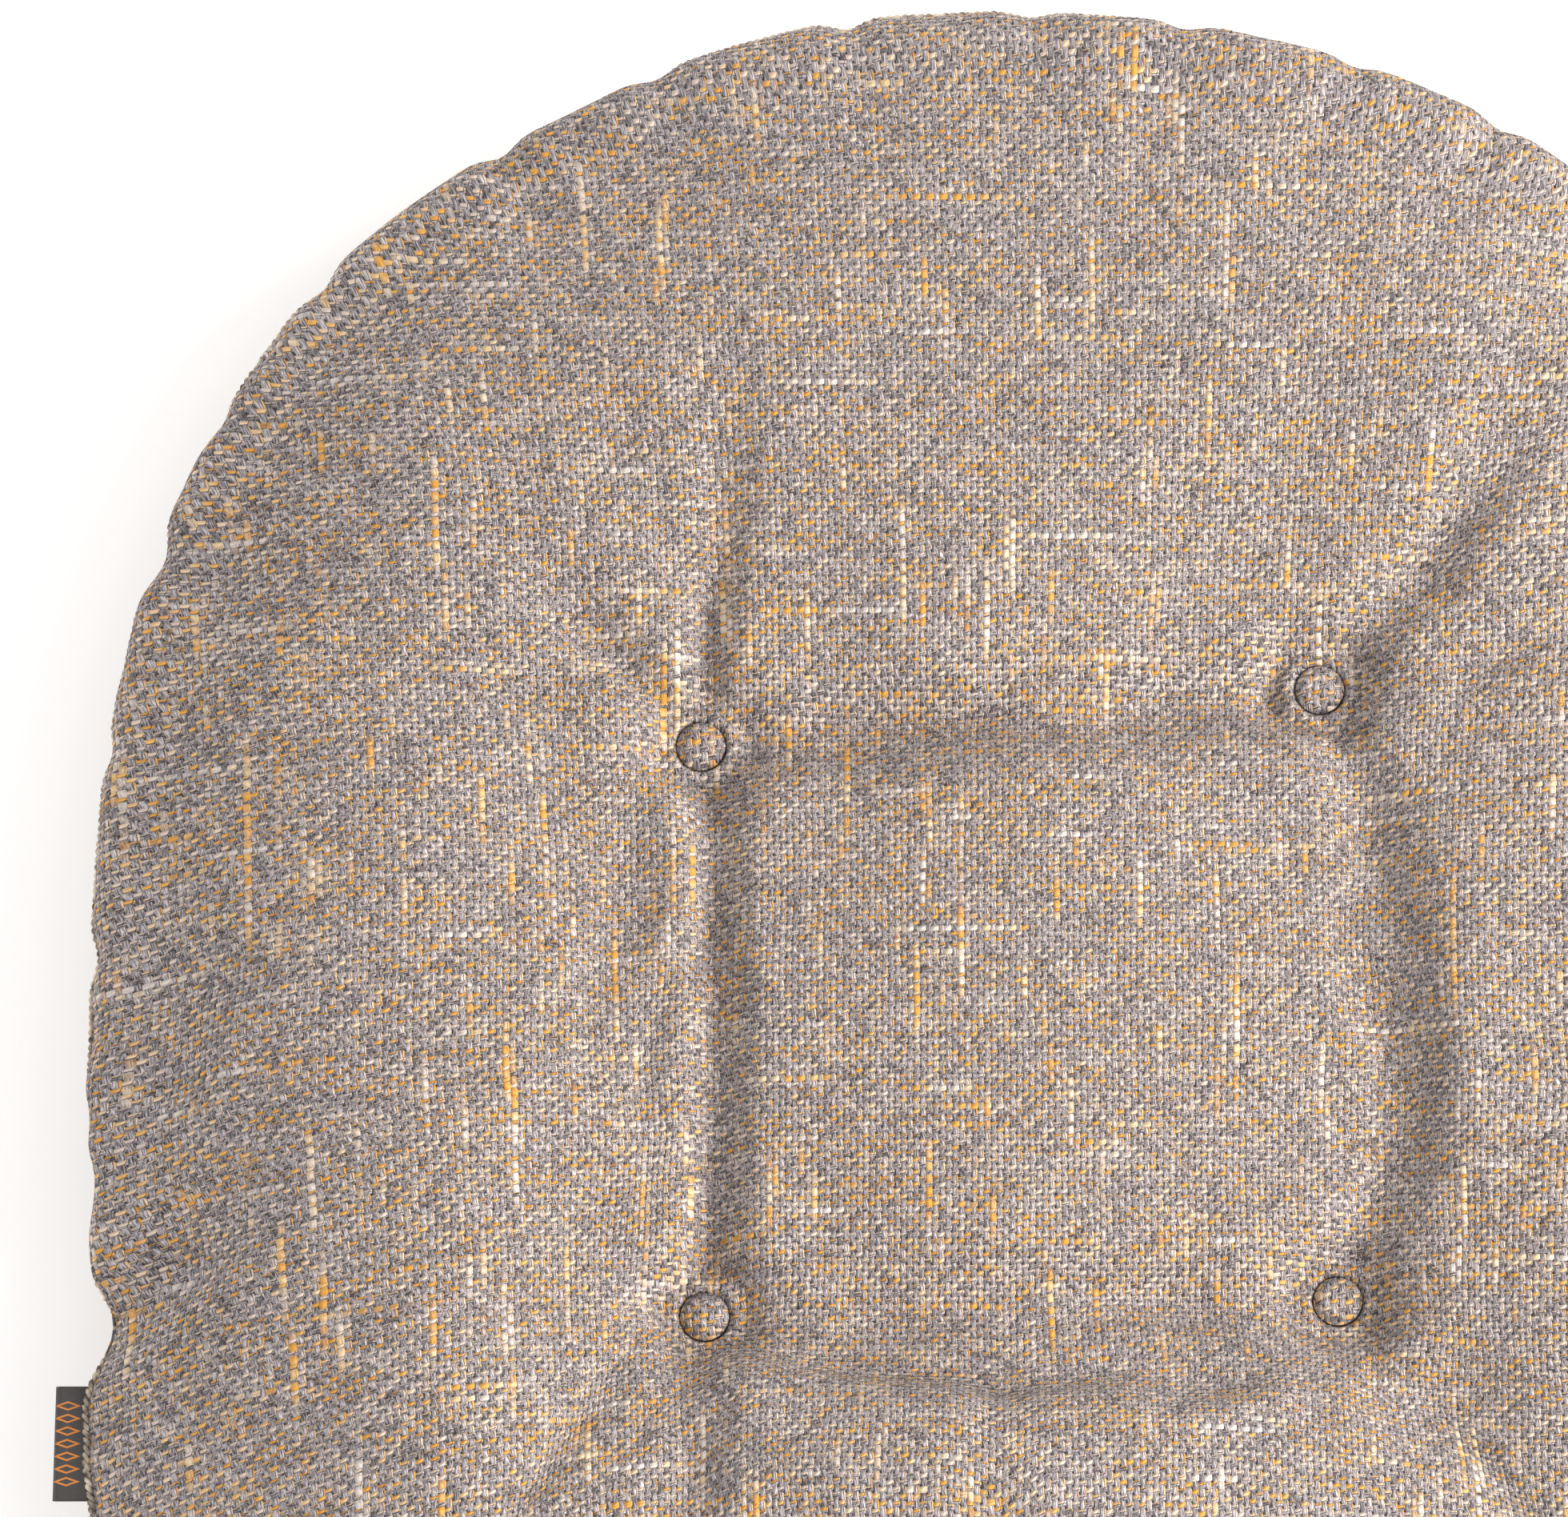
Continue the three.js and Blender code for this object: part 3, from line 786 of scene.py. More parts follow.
@dataclass
class PadCover:
    """The two sewn panels, as cut flat and as blown up round the filling."""

    outline: PadOutline
    tufts: list[Tuft]
    seam_height: float
    height: float
    gathers: tuple[Gather, ...]
    folds: tuple[Fold, ...]
    swells: tuple[Swell, ...]
    steps: int = 84
    frames: int = 40
    ease: float = 1.13
    top_fullness: float = 0.075
    under_fullness: float = 0.03
    pressure: float = 12.0
    rim_pressure: float = 0.5
    floor_gap: float = 1.6 * MM
    first_dent: float = 50 * MM
    tuck: float = 3.0 * MM
    stitch_dip: float = 0.8 * MM
    overhang: float = 4.0 * MM
    show_seam_deg: tuple[float, float] = (203.0, 262.0)
    hole: float = 6.65 * MM
    mound: float = 4.0 * MM
    fine_reach: float = 17 * MM
    back_bulge: float = 4.8 * MM
    crown_start: float = 88 * MM
    crown_room: float = 8 * MM

    def build(self) -> bpy.types.Object:
        """Makes the closed cover of both panels at rest.

        Returns:
            The cover as one mesh, with its flat cut in the map "fabric" and its panels told
            apart by the face attribute "is_top".
        """
        cover = self._panels()
        self._inflate(cover)
        finer = cover.modifiers.new("Finer", "SUBSURF")
        finer.levels = finer.render_levels = 1
        applied(cover)
        self._refine_round_tufts(cover)
        self._fit_outline(cover)
        self._pucker(cover)
        self._pack(cover)
        self._crease(cover)
        self._seat_buttons(cover)
        return cover

    def _panels(self) -> bpy.types.Object:
        """Lays out both panels, sewn at the rim, in a rough first shape."""
        bm = bmesh.new()
        bmesh.ops.create_grid(bm, x_segments=self.steps, y_segments=self.steps, size=1.0)
        layers = bm.verts.layers.float
        names = ("ring", "flat_x", "flat_y", "square_u", "square_v")
        ring, flat_x, flat_y, square_u, square_v = [layers.new(name) for name in names]
        top = bm.faces.layers.int.new("is_top")
        for vert in bm.verts:
            vert[square_u], vert[square_v] = vert.co.x, vert.co.y
            vert[ring] = min(1.0, max(abs(vert.co.x), abs(vert.co.y)))
            plan = self.outline.from_square(vert.co.x, vert.co.y)
            vert.co = (plan[0], plan[1], 0.0)
        for face in bm.faces:
            face[top] = 1
        copy = bmesh.ops.duplicate(bm, geom=bm.verts[:] + bm.edges[:] + bm.faces[:])
        under_faces = [g for g in copy["geom"] if isinstance(g, bmesh.types.BMFace)]
        under_verts = {g for g in copy["geom"] if isinstance(g, bmesh.types.BMVert)}
        bmesh.ops.reverse_faces(bm, faces=under_faces)
        for face in under_faces:
            face[top] = 0
        for vert in bm.verts:
            is_under = vert in under_verts
            share = vert[ring]
            full = self.under_fullness if is_under else self.top_fullness
            grow = self.ease + full * (1 - share**2)
            vert[flat_x], vert[flat_y] = vert.co.x * grow, vert.co.y * grow
            if is_under:
                rise = -0.9 * self.seam_height * math.sqrt(1 - share**6)
            else:
                rise = 0.75 * (self.height - self.seam_height) * (1 - share**2.2) ** 0.6
            vert.co = self._dented(vert.co, rise, is_under)
        uv = bm.loops.layers.uv.new(Coordinates.FABRIC_MAP.value)
        for face in bm.faces:
            shift = 0.0 if face[top] else 0.73
            for loop in face.loops:
                loop[uv].uv = (loop.vert[flat_x] + shift, loop.vert[flat_y] + shift)
        rim = [v for v in bm.verts if v[ring] > 1 - 1e-6]
        bmesh.ops.remove_doubles(bm, verts=rim, dist=0.1 * MM)
        return finished(bm, "cover")

    def _dented(self, plan: Vector, rise: float, is_under: bool) -> Vector:
        """A first place for a point, drawn towards the buttons near them."""
        x, y = plan.x, plan.y + self.outline.widest_y
        z = self.seam_height + rise
        for tuft in self.tufts:
            near = math.hypot(x - tuft.x, y - tuft.y)
            if near < self.first_dent:
                seat = tuft.under_seat if is_under else tuft.button_low
                pull = (1 - near / self.first_dent) ** 2
                z = z * (1 - pull) + seat * pull
        return Vector((x, y, z))

    def _inflate(self, cover: bpy.types.Object) -> None:
        """Blows the sewn panels up round the filling with the buttons held down."""
        mesh = cover.data
        start = coordinates(mesh)
        flat = np.stack([values(mesh, "flat_x"), values(mesh, "flat_y"), start[:, 2] * 0], axis=1)
        self._hold_buttons(cover, start)
        self._fill(cover, start)
        place_points(mesh, start)
        cover.shape_key_add(name="Basis")
        cut = cover.shape_key_add(name="cut")
        cut.data.foreach_set("co", flat.ravel())
        cloth = cover.modifiers.new("Cloth", "CLOTH")
        self._set_up(cloth, cut)
        plate = self._support()
        cloth.point_cache.frame_start = 1
        cloth.point_cache.frame_end = self.frames
        scene = bpy.context.scene
        for number in range(1, self.frames + 1):
            scene.frame_set(number)
        shaped = cover.evaluated_get(bpy.context.evaluated_depsgraph_get())
        points = coordinates(shaped.data)
        cover.modifiers.clear()
        cover.shape_key_clear()
        scene.frame_set(1)
        bpy.data.objects.remove(plate)
        points[:, 2] = np.maximum(points[:, 2] - self.floor_gap, 0.0)
        place_points(cover.data, points)
        LOG.info("cover blown up to %s", np.round(np.ptp(points, axis=0) / MM, 1))

    def _hold_buttons(self, cover: bpy.types.Object, start: np.ndarray) -> None:
        """Pins the cloth that lies under each button, above and below."""
        pins = cover.vertex_groups.new(name="held")
        is_top = on_top(cover.data)
        for tuft in self.tufts:
            sides = ((tuft.button_low - 2 * MM, is_top, 5), (tuft.under_seat, ~is_top, 9))
            for seat, side, count in sides:
                rows = np.where(side)[0]
                away = np.hypot(start[rows, 0] - tuft.x, start[rows, 1] - tuft.y)
                near = rows[np.argsort(away)[:count]]
                start[near, 2] = seat + self.floor_gap
                pins.add([int(row) for row in near], 1.0, "REPLACE")

    def _fill(self, cover: bpy.types.Object, start: np.ndarray) -> None:
        """Weights the pressure: fullest between the buttons, where the filling is packed."""
        group = cover.vertex_groups.new(name="fill")
        half_x = np.mean([abs(tuft.x) for tuft in self.tufts])
        middle_y = np.mean([tuft.y for tuft in self.tufts])
        half_y = np.mean([abs(tuft.y - middle_y) for tuft in self.tufts])
        across, along = np.abs(start[:, 0]) / half_x, np.abs(start[:, 1] - middle_y) / half_y
        inside = np.clip((1.25 - np.maximum(across, along)) / 0.5, 0, 1)
        for row, weight in enumerate(self.rim_pressure + (1 - self.rim_pressure) * inside):
            group.add([row], float(weight), "REPLACE")

    def _set_up(self, cloth: bpy.types.Modifier, cut: bpy.types.ShapeKey) -> None:
        """Gives the cloth its stiffness, pressure and rest shape."""
        s = cloth.settings
        s.quality = 6
        s.mass = 0.3
        s.air_damping = 2.0
        s.tension_stiffness = 40.0
        s.compression_stiffness = 40.0
        s.shear_stiffness = 5.0
        s.bending_stiffness = 0.1
        s.vertex_group_mass = "held"
        s.use_pressure = True
        s.uniform_pressure_force = self.pressure
        s.vertex_group_pressure = "fill"
        s.rest_shape_key = cut
        s.effector_weights.gravity = 0.0
        cloth.collision_settings.use_collision = True
        cloth.collision_settings.distance_min = 1 * MM
        cloth.collision_settings.use_self_collision = False

    def _support(self) -> bpy.types.Object:
        """A plate under the pad, which flattens its underside while it is blown up."""
        bm = bmesh.new()
        bmesh.ops.create_grid(bm, x_segments=1, y_segments=1, size=1.0)
        plate = finished(bm, "support")
        plate.modifiers.new("Collision", "COLLISION")
        plate.collision.thickness_outer = 1 * MM
        plate.collision.cloth_friction = 0.1
        return plate

    def _refine_round_tufts(self, cover: bpy.types.Object) -> None:
        """Gives the cloth finer faces near each button, where it turns sharply."""
        bm = bmesh.new()
        bm.from_mesh(cover.data)
        near = {
            vert
            for vert in bm.verts
            for tuft in self.tufts
            if math.hypot(vert.co.x - tuft.x, vert.co.y - tuft.y) < self.fine_reach
        }
        edges = [edge for edge in bm.edges if edge.verts[0] in near and edge.verts[1] in near]
        bmesh.ops.subdivide_edges(bm, edges=edges, cuts=2, use_grid_fill=True)
        bm.to_mesh(cover.data)
        bm.free()
        cover.data.update()

    def _around(self, points: np.ndarray) -> tuple[np.ndarray, np.ndarray]:
        """Each point's direction and distance from the plan's middle."""
        along = points[:, 1] - self.outline.widest_y
        return np.arctan2(along, points[:, 0]), np.hypot(points[:, 0], along)

    def _silhouette(self, turn: np.ndarray, radius: np.ndarray) -> np.ndarray:
        """How far out the cover reaches in each point's direction."""
        count = 360
        slot = ((turn + math.pi) / math.tau * count).astype(int) % count
        furthest = np.zeros(count)
        np.maximum.at(furthest, slot, radius)
        middles = (np.arange(count) + 0.5) / count * math.tau - math.pi
        return np.interp(turn, middles, furthest, period=math.tau)

    def _level_seam(self, points: np.ndarray, turn: np.ndarray, ring: np.ndarray) -> None:
        """Brings the seam to its own height all round, and eases the cloth near it along."""
        sewn = np.where(ring > 1 - 1e-4)[0]
        sewn = sewn[np.argsort(turn[sewn])]
        now = np.interp(turn, turn[sewn], points[sewn, 2], period=math.tau)
        points[:, 2] *= 1 - (1 - self.seam_height / now) * ring**4

    def _fit_outline(self, cover: bpy.types.Object) -> None:
        """Draws the blown-up cover out to its plan, and rounds off its highest part."""
        points = coordinates(cover.data)
        turn, radius = self._around(points)
        self._level_seam(points, turn, values(cover.data, "ring"))
        reach = self._silhouette(turn, radius)
        wanted = self.outline.radius(turn % math.tau)
        wanted += self.back_bulge * np.clip(np.sin(turn), 0.0, 1.0)
        over = np.maximum(points[:, 2] - self.crown_start, 0.0)
        points[:, 2] -= over - self.crown_room * (1 - np.exp(-over / self.crown_room))
        pull = 1 + (wanted / reach - 1) * (radius / reach) ** 2.5
        points[:, 0] = radius * pull * np.cos(turn)
        points[:, 1] = radius * pull * np.sin(turn) + self.outline.widest_y
        place_points(cover.data, points)

    def _hidden(self, turn: np.ndarray) -> np.ndarray:
        """Where the panels bulge over their seam: 1, falling to 0 where it stays in view."""
        low, high = [math.radians(side) for side in self.show_seam_deg]
        ease = 0.06
        shown = smooth(low - ease, low + ease, turn % math.tau)
        return 1 - shown * (1 - smooth(high - ease, high + ease, turn % math.tau))

    def _pucker(self, cover: bpy.types.Object) -> None:
        """Gathers the edge seam and tucks it in between the panels."""
        mesh = cover.data
        points = coordinates(mesh)
        outward = normals(mesh)
        turn, radius = self._around(points)
        edge = self.outline.radius(turn % math.tau)
        inside = np.maximum(edge - radius, 0.0)
        sink = np.zeros(len(points))
        for gather in self.gathers:
            away = turned(turn - math.radians(gather.turn_deg)) * edge + gather.skew * inside
            width = gather.width + 0.16 * inside
            sink += gather.depth * furrow(away, width) * bump(inside, gather.reach)
        ring, hidden = values(mesh, "ring"), self._hidden(turn)
        sink += self.tuck * hidden * bump(1 - ring, 0.016)
        sink += self.stitch_dip * (1 - hidden) * bump(1 - ring - 0.02, 0.008)
        moved = points - outward * sink[:, None]
        over = self.overhang * hidden * bump(1 - ring - 0.045, 0.028)
        moved[:, 0] += over * np.cos(turn)
        moved[:, 1] += over * np.sin(turn)
        moved[:, 2] = np.maximum(moved[:, 2], 0.0)
        place_points(mesh, moved)

    def _pack(self, cover: bpy.types.Object) -> None:
        """Raises the top panel where the filling is fuller, and lowers it where it is thin."""
        points = coordinates(cover.data)
        upward = np.clip(normals(cover.data)[:, 2], 0.0, 1.0)
        for swell in self.swells:
            across = bump(points[:, 0] - swell.x, swell.reach_x)
            along = bump(points[:, 1] - swell.y, swell.reach_y)
            points[:, 2] += swell.rise * across * along * upward
        place_points(cover.data, points)

    def _crease(self, cover: bpy.types.Object) -> None:
        """Presses the creases that run out from the buttons into the top panel."""
        points = coordinates(cover.data)
        outward = normals(cover.data)
        upward = np.clip(outward[:, 2], 0.0, 1.0)
        places = {tuft.place: tuft for tuft in self.tufts}
        for fold in self.folds:
            tuft = places[fold.place]
            turn = math.radians(fold.turn_deg)
            x, y = points[:, 0] - tuft.x, points[:, 1] - tuft.y
            along = x * math.cos(turn) + y * math.sin(turn)
            across = y * math.cos(turn) - x * math.sin(turn)
            share = np.clip(along / fold.length, 0.0, 1.0)
            if fold.through:
                across = across - fold.bend * 4 * share * (1 - share) * fold.length
                width = fold.width
                fade = smooth(0.0, 0.08, share) * (1 - smooth(0.92, 1.0, share))
            else:
                across = across - fold.bend * share**2 * fold.length
                width = fold.width * (0.6 + 0.8 * share)
                fade = smooth(0.0, fold.start, along) * (1 - share) ** 0.8
            points[:, 2] -= fold.depth * fade * furrow(across, width) * upward
        place_points(cover.data, points)

    def _seat_buttons(self, cover: bpy.types.Object) -> None:
        """Opens a hollow for each button on the top and for each backing button below."""
        points = coordinates(cover.data)
        upward = normals(cover.data)[:, 2] > 0
        for tuft in self.tufts:
            away = np.hypot(points[:, 0] - tuft.x, points[:, 1] - tuft.y)
            lip = tuft.button_high - 1.6 * MM
            hold = 1 - smooth(7.8 * MM, 15 * MM, away)
            ring = smooth(8 * MM, 19 * MM, away) * (1 - smooth(22 * MM, 42 * MM, away))
            shaped = (points[:, 2] + self.mound * ring) * (1 - hold) + lip * hold
            drop = 1 - smooth(self.hole - 0.9 * MM, self.hole + 0.9 * MM, away)
            shaped -= drop * (lip - tuft.button_low + 1.6 * MM)
            seat = tuft.under_seat + 0.3 * MM
            hold = 1 - smooth(9 * MM, 24 * MM, away)
            under = points[:, 2] * (1 - hold) + seat * hold
            points[:, 2] = np.where(upward, shaped, under)
        place_points(cover.data, points)


@dataclass
class CoverPanels:
    """The cover parted at its seam into a top and an underside, each a layer of cloth."""

    cover: bpy.types.Object
    cloth: bpy.types.Material
    thickness: float = 1.2 * MM

    def build(self) -> list[bpy.types.Object]:
        """Makes the two panels; returns them."""
        parts = (("top_panel", 1, "cover_top"), ("under_panel", 0, "cover_bottom"))
        return [self._panel(name, top, node) for name, top, node in parts]

    def _panel(self, name: str, top: int, node: str) -> bpy.types.Object:
        """One panel with its thickness inward, in place of its node."""
        bm = bmesh.new()
        bm.from_mesh(self.cover.data)
        layer = bm.faces.layers.int["is_top"]
        others = [face for face in bm.faces if face[layer] != top]
        bmesh.ops.delete(bm, geom=others, context="FACES")
        piece = finished(bm, name)
        wall = piece.modifiers.new("Cloth thickness", "SOLIDIFY")
        wall.thickness = self.thickness
        wall.offset = -1.0
        return declared(piece, self.cloth, node)


@dataclass
class EdgeSeam:
    """The rolled edge where both panels meet, and the two threads of the seam inside."""

    cover: bpy.types.Object
    roll: bpy.types.Material
    thread: bpy.types.Material
    roll_radius: float = 0.6 * MM
    strand_radius: float = 0.7 * MM
    pitch: float = 4.2 * MM
    step: float = 0.6 * MM
    inset: float = 5.4 * MM
    stitch: float = 3.2 * MM
    stitch_step: float = 0.8 * MM
    thread_radius: float = 0.4 * MM

    def build(self) -> None:
        """Adds the rolled edge and the seam's threads."""
        rim = spaced(self._rim(), self.step)
        middle = rim.mean(axis=0)
        outward = (rim - middle) * (1, 1, 0)
        outward /= np.linalg.norm(outward, axis=1, keepdims=True)
        line = rim + outward * 0.5 * MM
        strands = [wound(line, self.roll_radius, self.pitch, turn * math.pi) for turn in (0, 1)]
        roll = strand(strands, self.strand_radius, True, "edge_roll")
        declared(roll, self.roll)
        inner = spaced(rim - outward * self.inset, self.stitch_step)
        for name, node, side in (
            ("seam_needle_line", "seam_needle_thread", 1),
            ("seam_bobbin_line", "seam_bobbin_thread", -1),
        ):
            line = strand([self._stitched(inner, side)], self.thread_radius, True, name)
            declared(line, self.thread, node)

    def _rim(self) -> np.ndarray:
        """The seam's points in order round the pad."""
        bm = bmesh.new()
        bm.from_mesh(self.cover.data)
        layer = bm.faces.layers.int["is_top"]
        sewn = [e for e in bm.edges if len({face[layer] for face in e.link_faces}) == 2]
        links: dict[int, list[int]] = {}
        for edge in sewn:
            first, second = edge.verts
            links.setdefault(first.index, []).append(second.index)
            links.setdefault(second.index, []).append(first.index)
        start = next(iter(links))
        order, last = [start], None
        while True:
            ahead = [index for index in links[order[-1]] if index != last]
            last = order[-1]
            if ahead[0] == start or len(order) > len(links):
                break
            order.append(ahead[0])
        bm.verts.ensure_lookup_table()
        points = np.array([tuple(bm.verts[index].co) for index in order])
        bm.free()
        return points

    def _stitched(self, path: np.ndarray, side: int) -> np.ndarray:
        """Sinks a thread between the panels at each stitch hole, on its own side."""
        walked = np.arange(len(path)) * self.stitch_step
        wave = np.abs(np.sin(walked / self.stitch * math.pi))
        lifted = path.copy()
        lifted[:, 2] += side * (self.thread_radius * 1.2 + 0.5 * MM * wave)
        return lifted


@dataclass
class Filling:
    """The foam core and the two layers of wadding, shaped by the cover around them."""

    cover: bpy.types.Object
    widest_y: float
    steps: int = 84
    stride: int = 3
    wadding_depths: tuple[float, float] = (2.4 * MM, 11.5 * MM)
    foam_depth: float = 11.9 * MM
    wadding_rim: float = 11 * MM
    foam_rim: float = 20 * MM

    def build(self, wadding: bpy.types.Material, foam: bpy.types.Material) -> None:
        """Adds the three layers."""
        self._read()
        near, far = self.wadding_depths
        rim, core_rim, core = self.wadding_rim, self.foam_rim, self.foam_depth
        layers = (
            ("wadding_over", "wadding_top", "wadding", wadding, (1, near), (1, far), rim),
            ("wadding_under", "wadding_bottom", "wadding", wadding, (0, near), (0, far), rim),
            ("foam_block", "foam_core", "foam", foam, (1, core), (0, core), core_rim),
        )
        for name, node, slot, material, first, second, drawn_in in layers:
            piece = self._layer(name, first, second, drawn_in)
            declared(piece, material, node)

    def _read(self) -> None:
        """Reads both panels' heights over an even grid of the square."""
        mesh = self.cover.data
        points = coordinates(mesh)
        is_top = on_top(mesh)
        count = self.steps // self.stride
        u, v = values(mesh, "square_u"), values(mesh, "square_v")
        ring = values(mesh, "ring") > 1 - 1e-4
        self.sides = []
        places = np.linspace(-1, 1, count + 1)
        across, along = np.meshgrid(places, places, indexing="ij")
        under, over = ~is_top | ring, is_top
        for side in (under, over):
            rows = np.where(side)[0]
            found = np.zeros((count + 1, count + 1, 3))
            for i, j in np.ndindex(across.shape):
                off = np.maximum(np.abs(u[rows] - across[i, j]), np.abs(v[rows] - along[i, j]))
                found[i, j] = points[rows[int(np.argmin(off))]]
                nearby = points[rows[off < 3.2 / count], 2]
                found[i, j, 2] = nearby.min() if side is over else nearby.max()
            self.sides.append(found)
        self.ring = np.maximum(np.abs(across), np.abs(along))

    def _surface(self, side: int, depth: float, rim: float) -> np.ndarray:
        """A grid of points under one panel at a depth, drawn in from the rim."""
        outer, other = self.sides[side], self.sides[1 - side]
        half = (other - outer) / 2
        length = np.maximum(np.linalg.norm(half, axis=2, keepdims=True), 1e-9)
        share = 1 - np.exp(-depth / length)
        points = outer + half * share
        middle = np.array([0.0, self.widest_y, 0.0])
        away = (points - middle) * (1, 1, 0)
        reach = np.maximum(np.linalg.norm(away, axis=2, keepdims=True), 1e-9)
        drawn = rim * smooth(0.55, 1.0, self.ring)[:, :, None]
        return points - away / reach * np.minimum(drawn, reach)

    def _layer(self, name: str, first: tuple, second: tuple, rim: float) -> bpy.types.Object:
        """Closes two grids of points into one layer."""
        bm = bmesh.new()
        last = self.sides[0].shape[0] - 1
        outer, inner = self._surface(*first, rim), self._surface(*second, rim)
        for points in (outer, inner):
            grid = bmesh.ops.create_grid(bm, x_segments=last, y_segments=last, size=1.0)
            for vert in grid["verts"]:
                i, j = [round((place + 1) / 2 * last) for place in vert.co.xy]
                at_rim = i in (0, last) or j in (0, last)
                vert.co = outer[i, j] if at_rim else points[i, j]
        bmesh.ops.remove_doubles(bm, verts=bm.verts[:], dist=0.02 * MM)
        bmesh.ops.recalc_face_normals(bm, faces=bm.faces[:])
        return finished(bm, name)


@dataclass
class TuftedButton:
    """A cloth-covered button drawn into the pad, and its backing button underneath."""

    tuft: Tuft
    cloth: bpy.types.Material
    nylon: bpy.types.Material
    rim: float = 0.8 * MM
    steps: int = 48

    def build(self) -> None:
        """Adds the covered button and its backing button in place of their nodes."""
        place = self.tuft.place
        low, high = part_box(f"button_fabric_{place}")
        radius = (high[0] - low[0]) / 2
        dome = self._dome(radius, high[2] - low[2])
        at = Vector((self.tuft.x, self.tuft.y, low[2]))
        button = turned_solid(dome, self.steps, f"covered_button_{place}", at)
        declared(button, self.cloth, f"button_fabric_{place}")
        low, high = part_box(f"backing_button_{place}")
        at = Vector(((low[0] + high[0]) / 2, (low[1] + high[1]) / 2, low[2]))
        disc = self._disc((high[0] - low[0]) / 2, high[2] - low[2])
        backing = turned_solid(disc, self.steps, f"under_button_{place}", at)
        declared(backing, self.nylon, f"backing_button_{place}")

    def _dome(self, radius: float, height: float) -> list[tuple[float, float]]:
        """The covered button's half section: cloth drawn over a domed cap and turned under."""
        profile = [(0.0, height - 0.9 * MM), (radius * 0.7, 0.6 * MM), (radius * 0.82, 0.0)]
        for number in range(0, 5):
            turn = math.radians(-60 + 30 * number)
            x = radius - self.rim + self.rim * math.cos(turn)
            profile.append((x, self.rim + self.rim * math.sin(turn)))
        top = height - 2 * self.rim
        for share in np.linspace(0.12, 1.0, 10):
            x = (radius - self.rim) * math.cos(share * math.pi / 2)
            profile.append((x, 2 * self.rim + top * math.sin(share * math.pi / 2)))
        profile[-1] = (0.0, profile[-1][1])
        return profile

    def _disc(self, radius: float, height: float) -> list[tuple[float, float]]:
        """The backing button's half section: a shallow dish with a rounded rim, face down."""
        lip = height / 2
        profile = [(0.0, 0.35 * height), (radius * 0.62, 0.35 * height), (radius * 0.74, 0.0)]
        for number in range(0, 7):
            turn = math.radians(-90 + 30 * number)
            profile.append((radius - lip + lip * math.cos(turn), lip + lip * math.sin(turn)))
        return profile + [(0.0, height)]


@dataclass
class SideLabel:
    """A folded tape sewn into the edge seam, free to swing about it."""

    tape: bpy.types.Material
    ply: float = 0.3 * MM
    rows: int = 40
    columns: int = 26
    ripple: float = 0.35 * MM

    def build(self) -> bpy.types.Object:
        """Adds the tape in place of its node, bending at the seam; returns it."""
        low, high = [Vector(corner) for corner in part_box("side_label")]
        middle_z, half = (low.z + high.z) / 2, (high.z - low.z) / 2 - self.ply / 2
        reach = high.x - low.x
        bm = bmesh.new()
        bmesh.ops.create_grid(bm, x_segments=self.columns, y_segments=self.rows, size=1.0)
        uv = bm.loops.layers.uv.new("tape")
        for face in bm.faces:
            for loop in face.loops:
                place = loop.vert.co
                loop[uv].uv = (1 - abs(place.x), (place.y + 1) / 2 * (high.y - low.y))
        for vert in bm.verts:
            vert.co = self._folded(vert.co.copy(), low, high, reach, middle_z, half)
        piece = finished(bm, "edge_label")
        wall = piece.modifiers.new("Tape thickness", "SOLIDIFY")
        wall.thickness = self.ply
        wall.offset = 0.0
        applied(piece)
        piece.data.materials.append(self.tape)
        root = (high.x - 0.2 * MM, 0.0, middle_z)
        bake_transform(piece, PAD_BODY, LABEL_BODY, start=root, end=(root[0] - 1.2 * MM, 0.0, middle_z))
        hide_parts("side_label")
        return piece

    def _folded(self, place, low, high, reach, middle_z, half) -> Vector:
        """Carries a place on the flat tape to its place once folded in two."""
        out = 1 - abs(place.x)
        side = 1 if place.x >= 0 else -1
        y = low.y + (place.y + 1) / 2 * (high.y - low.y)
        bend = reach * 0.1
        straight = reach + 6 * MM - bend
        walk = out * (straight + bend * math.pi / 2)
        if walk < straight:
            x, z = high.x + 6 * MM - walk, side * half
        else:
            turn = (walk - straight) / bend
            x, z = high.x + 6 * MM - straight - bend * math.sin(turn), side * half * math.cos(turn)
        skew = 0.4 * MM * place.y * out
        wave = self.ripple * out * math.sin(place.y * 2.6 + 0.7)
        return Vector((x + skew, y, middle_z + z + wave))


# ---------------------------------------------------------------- studio


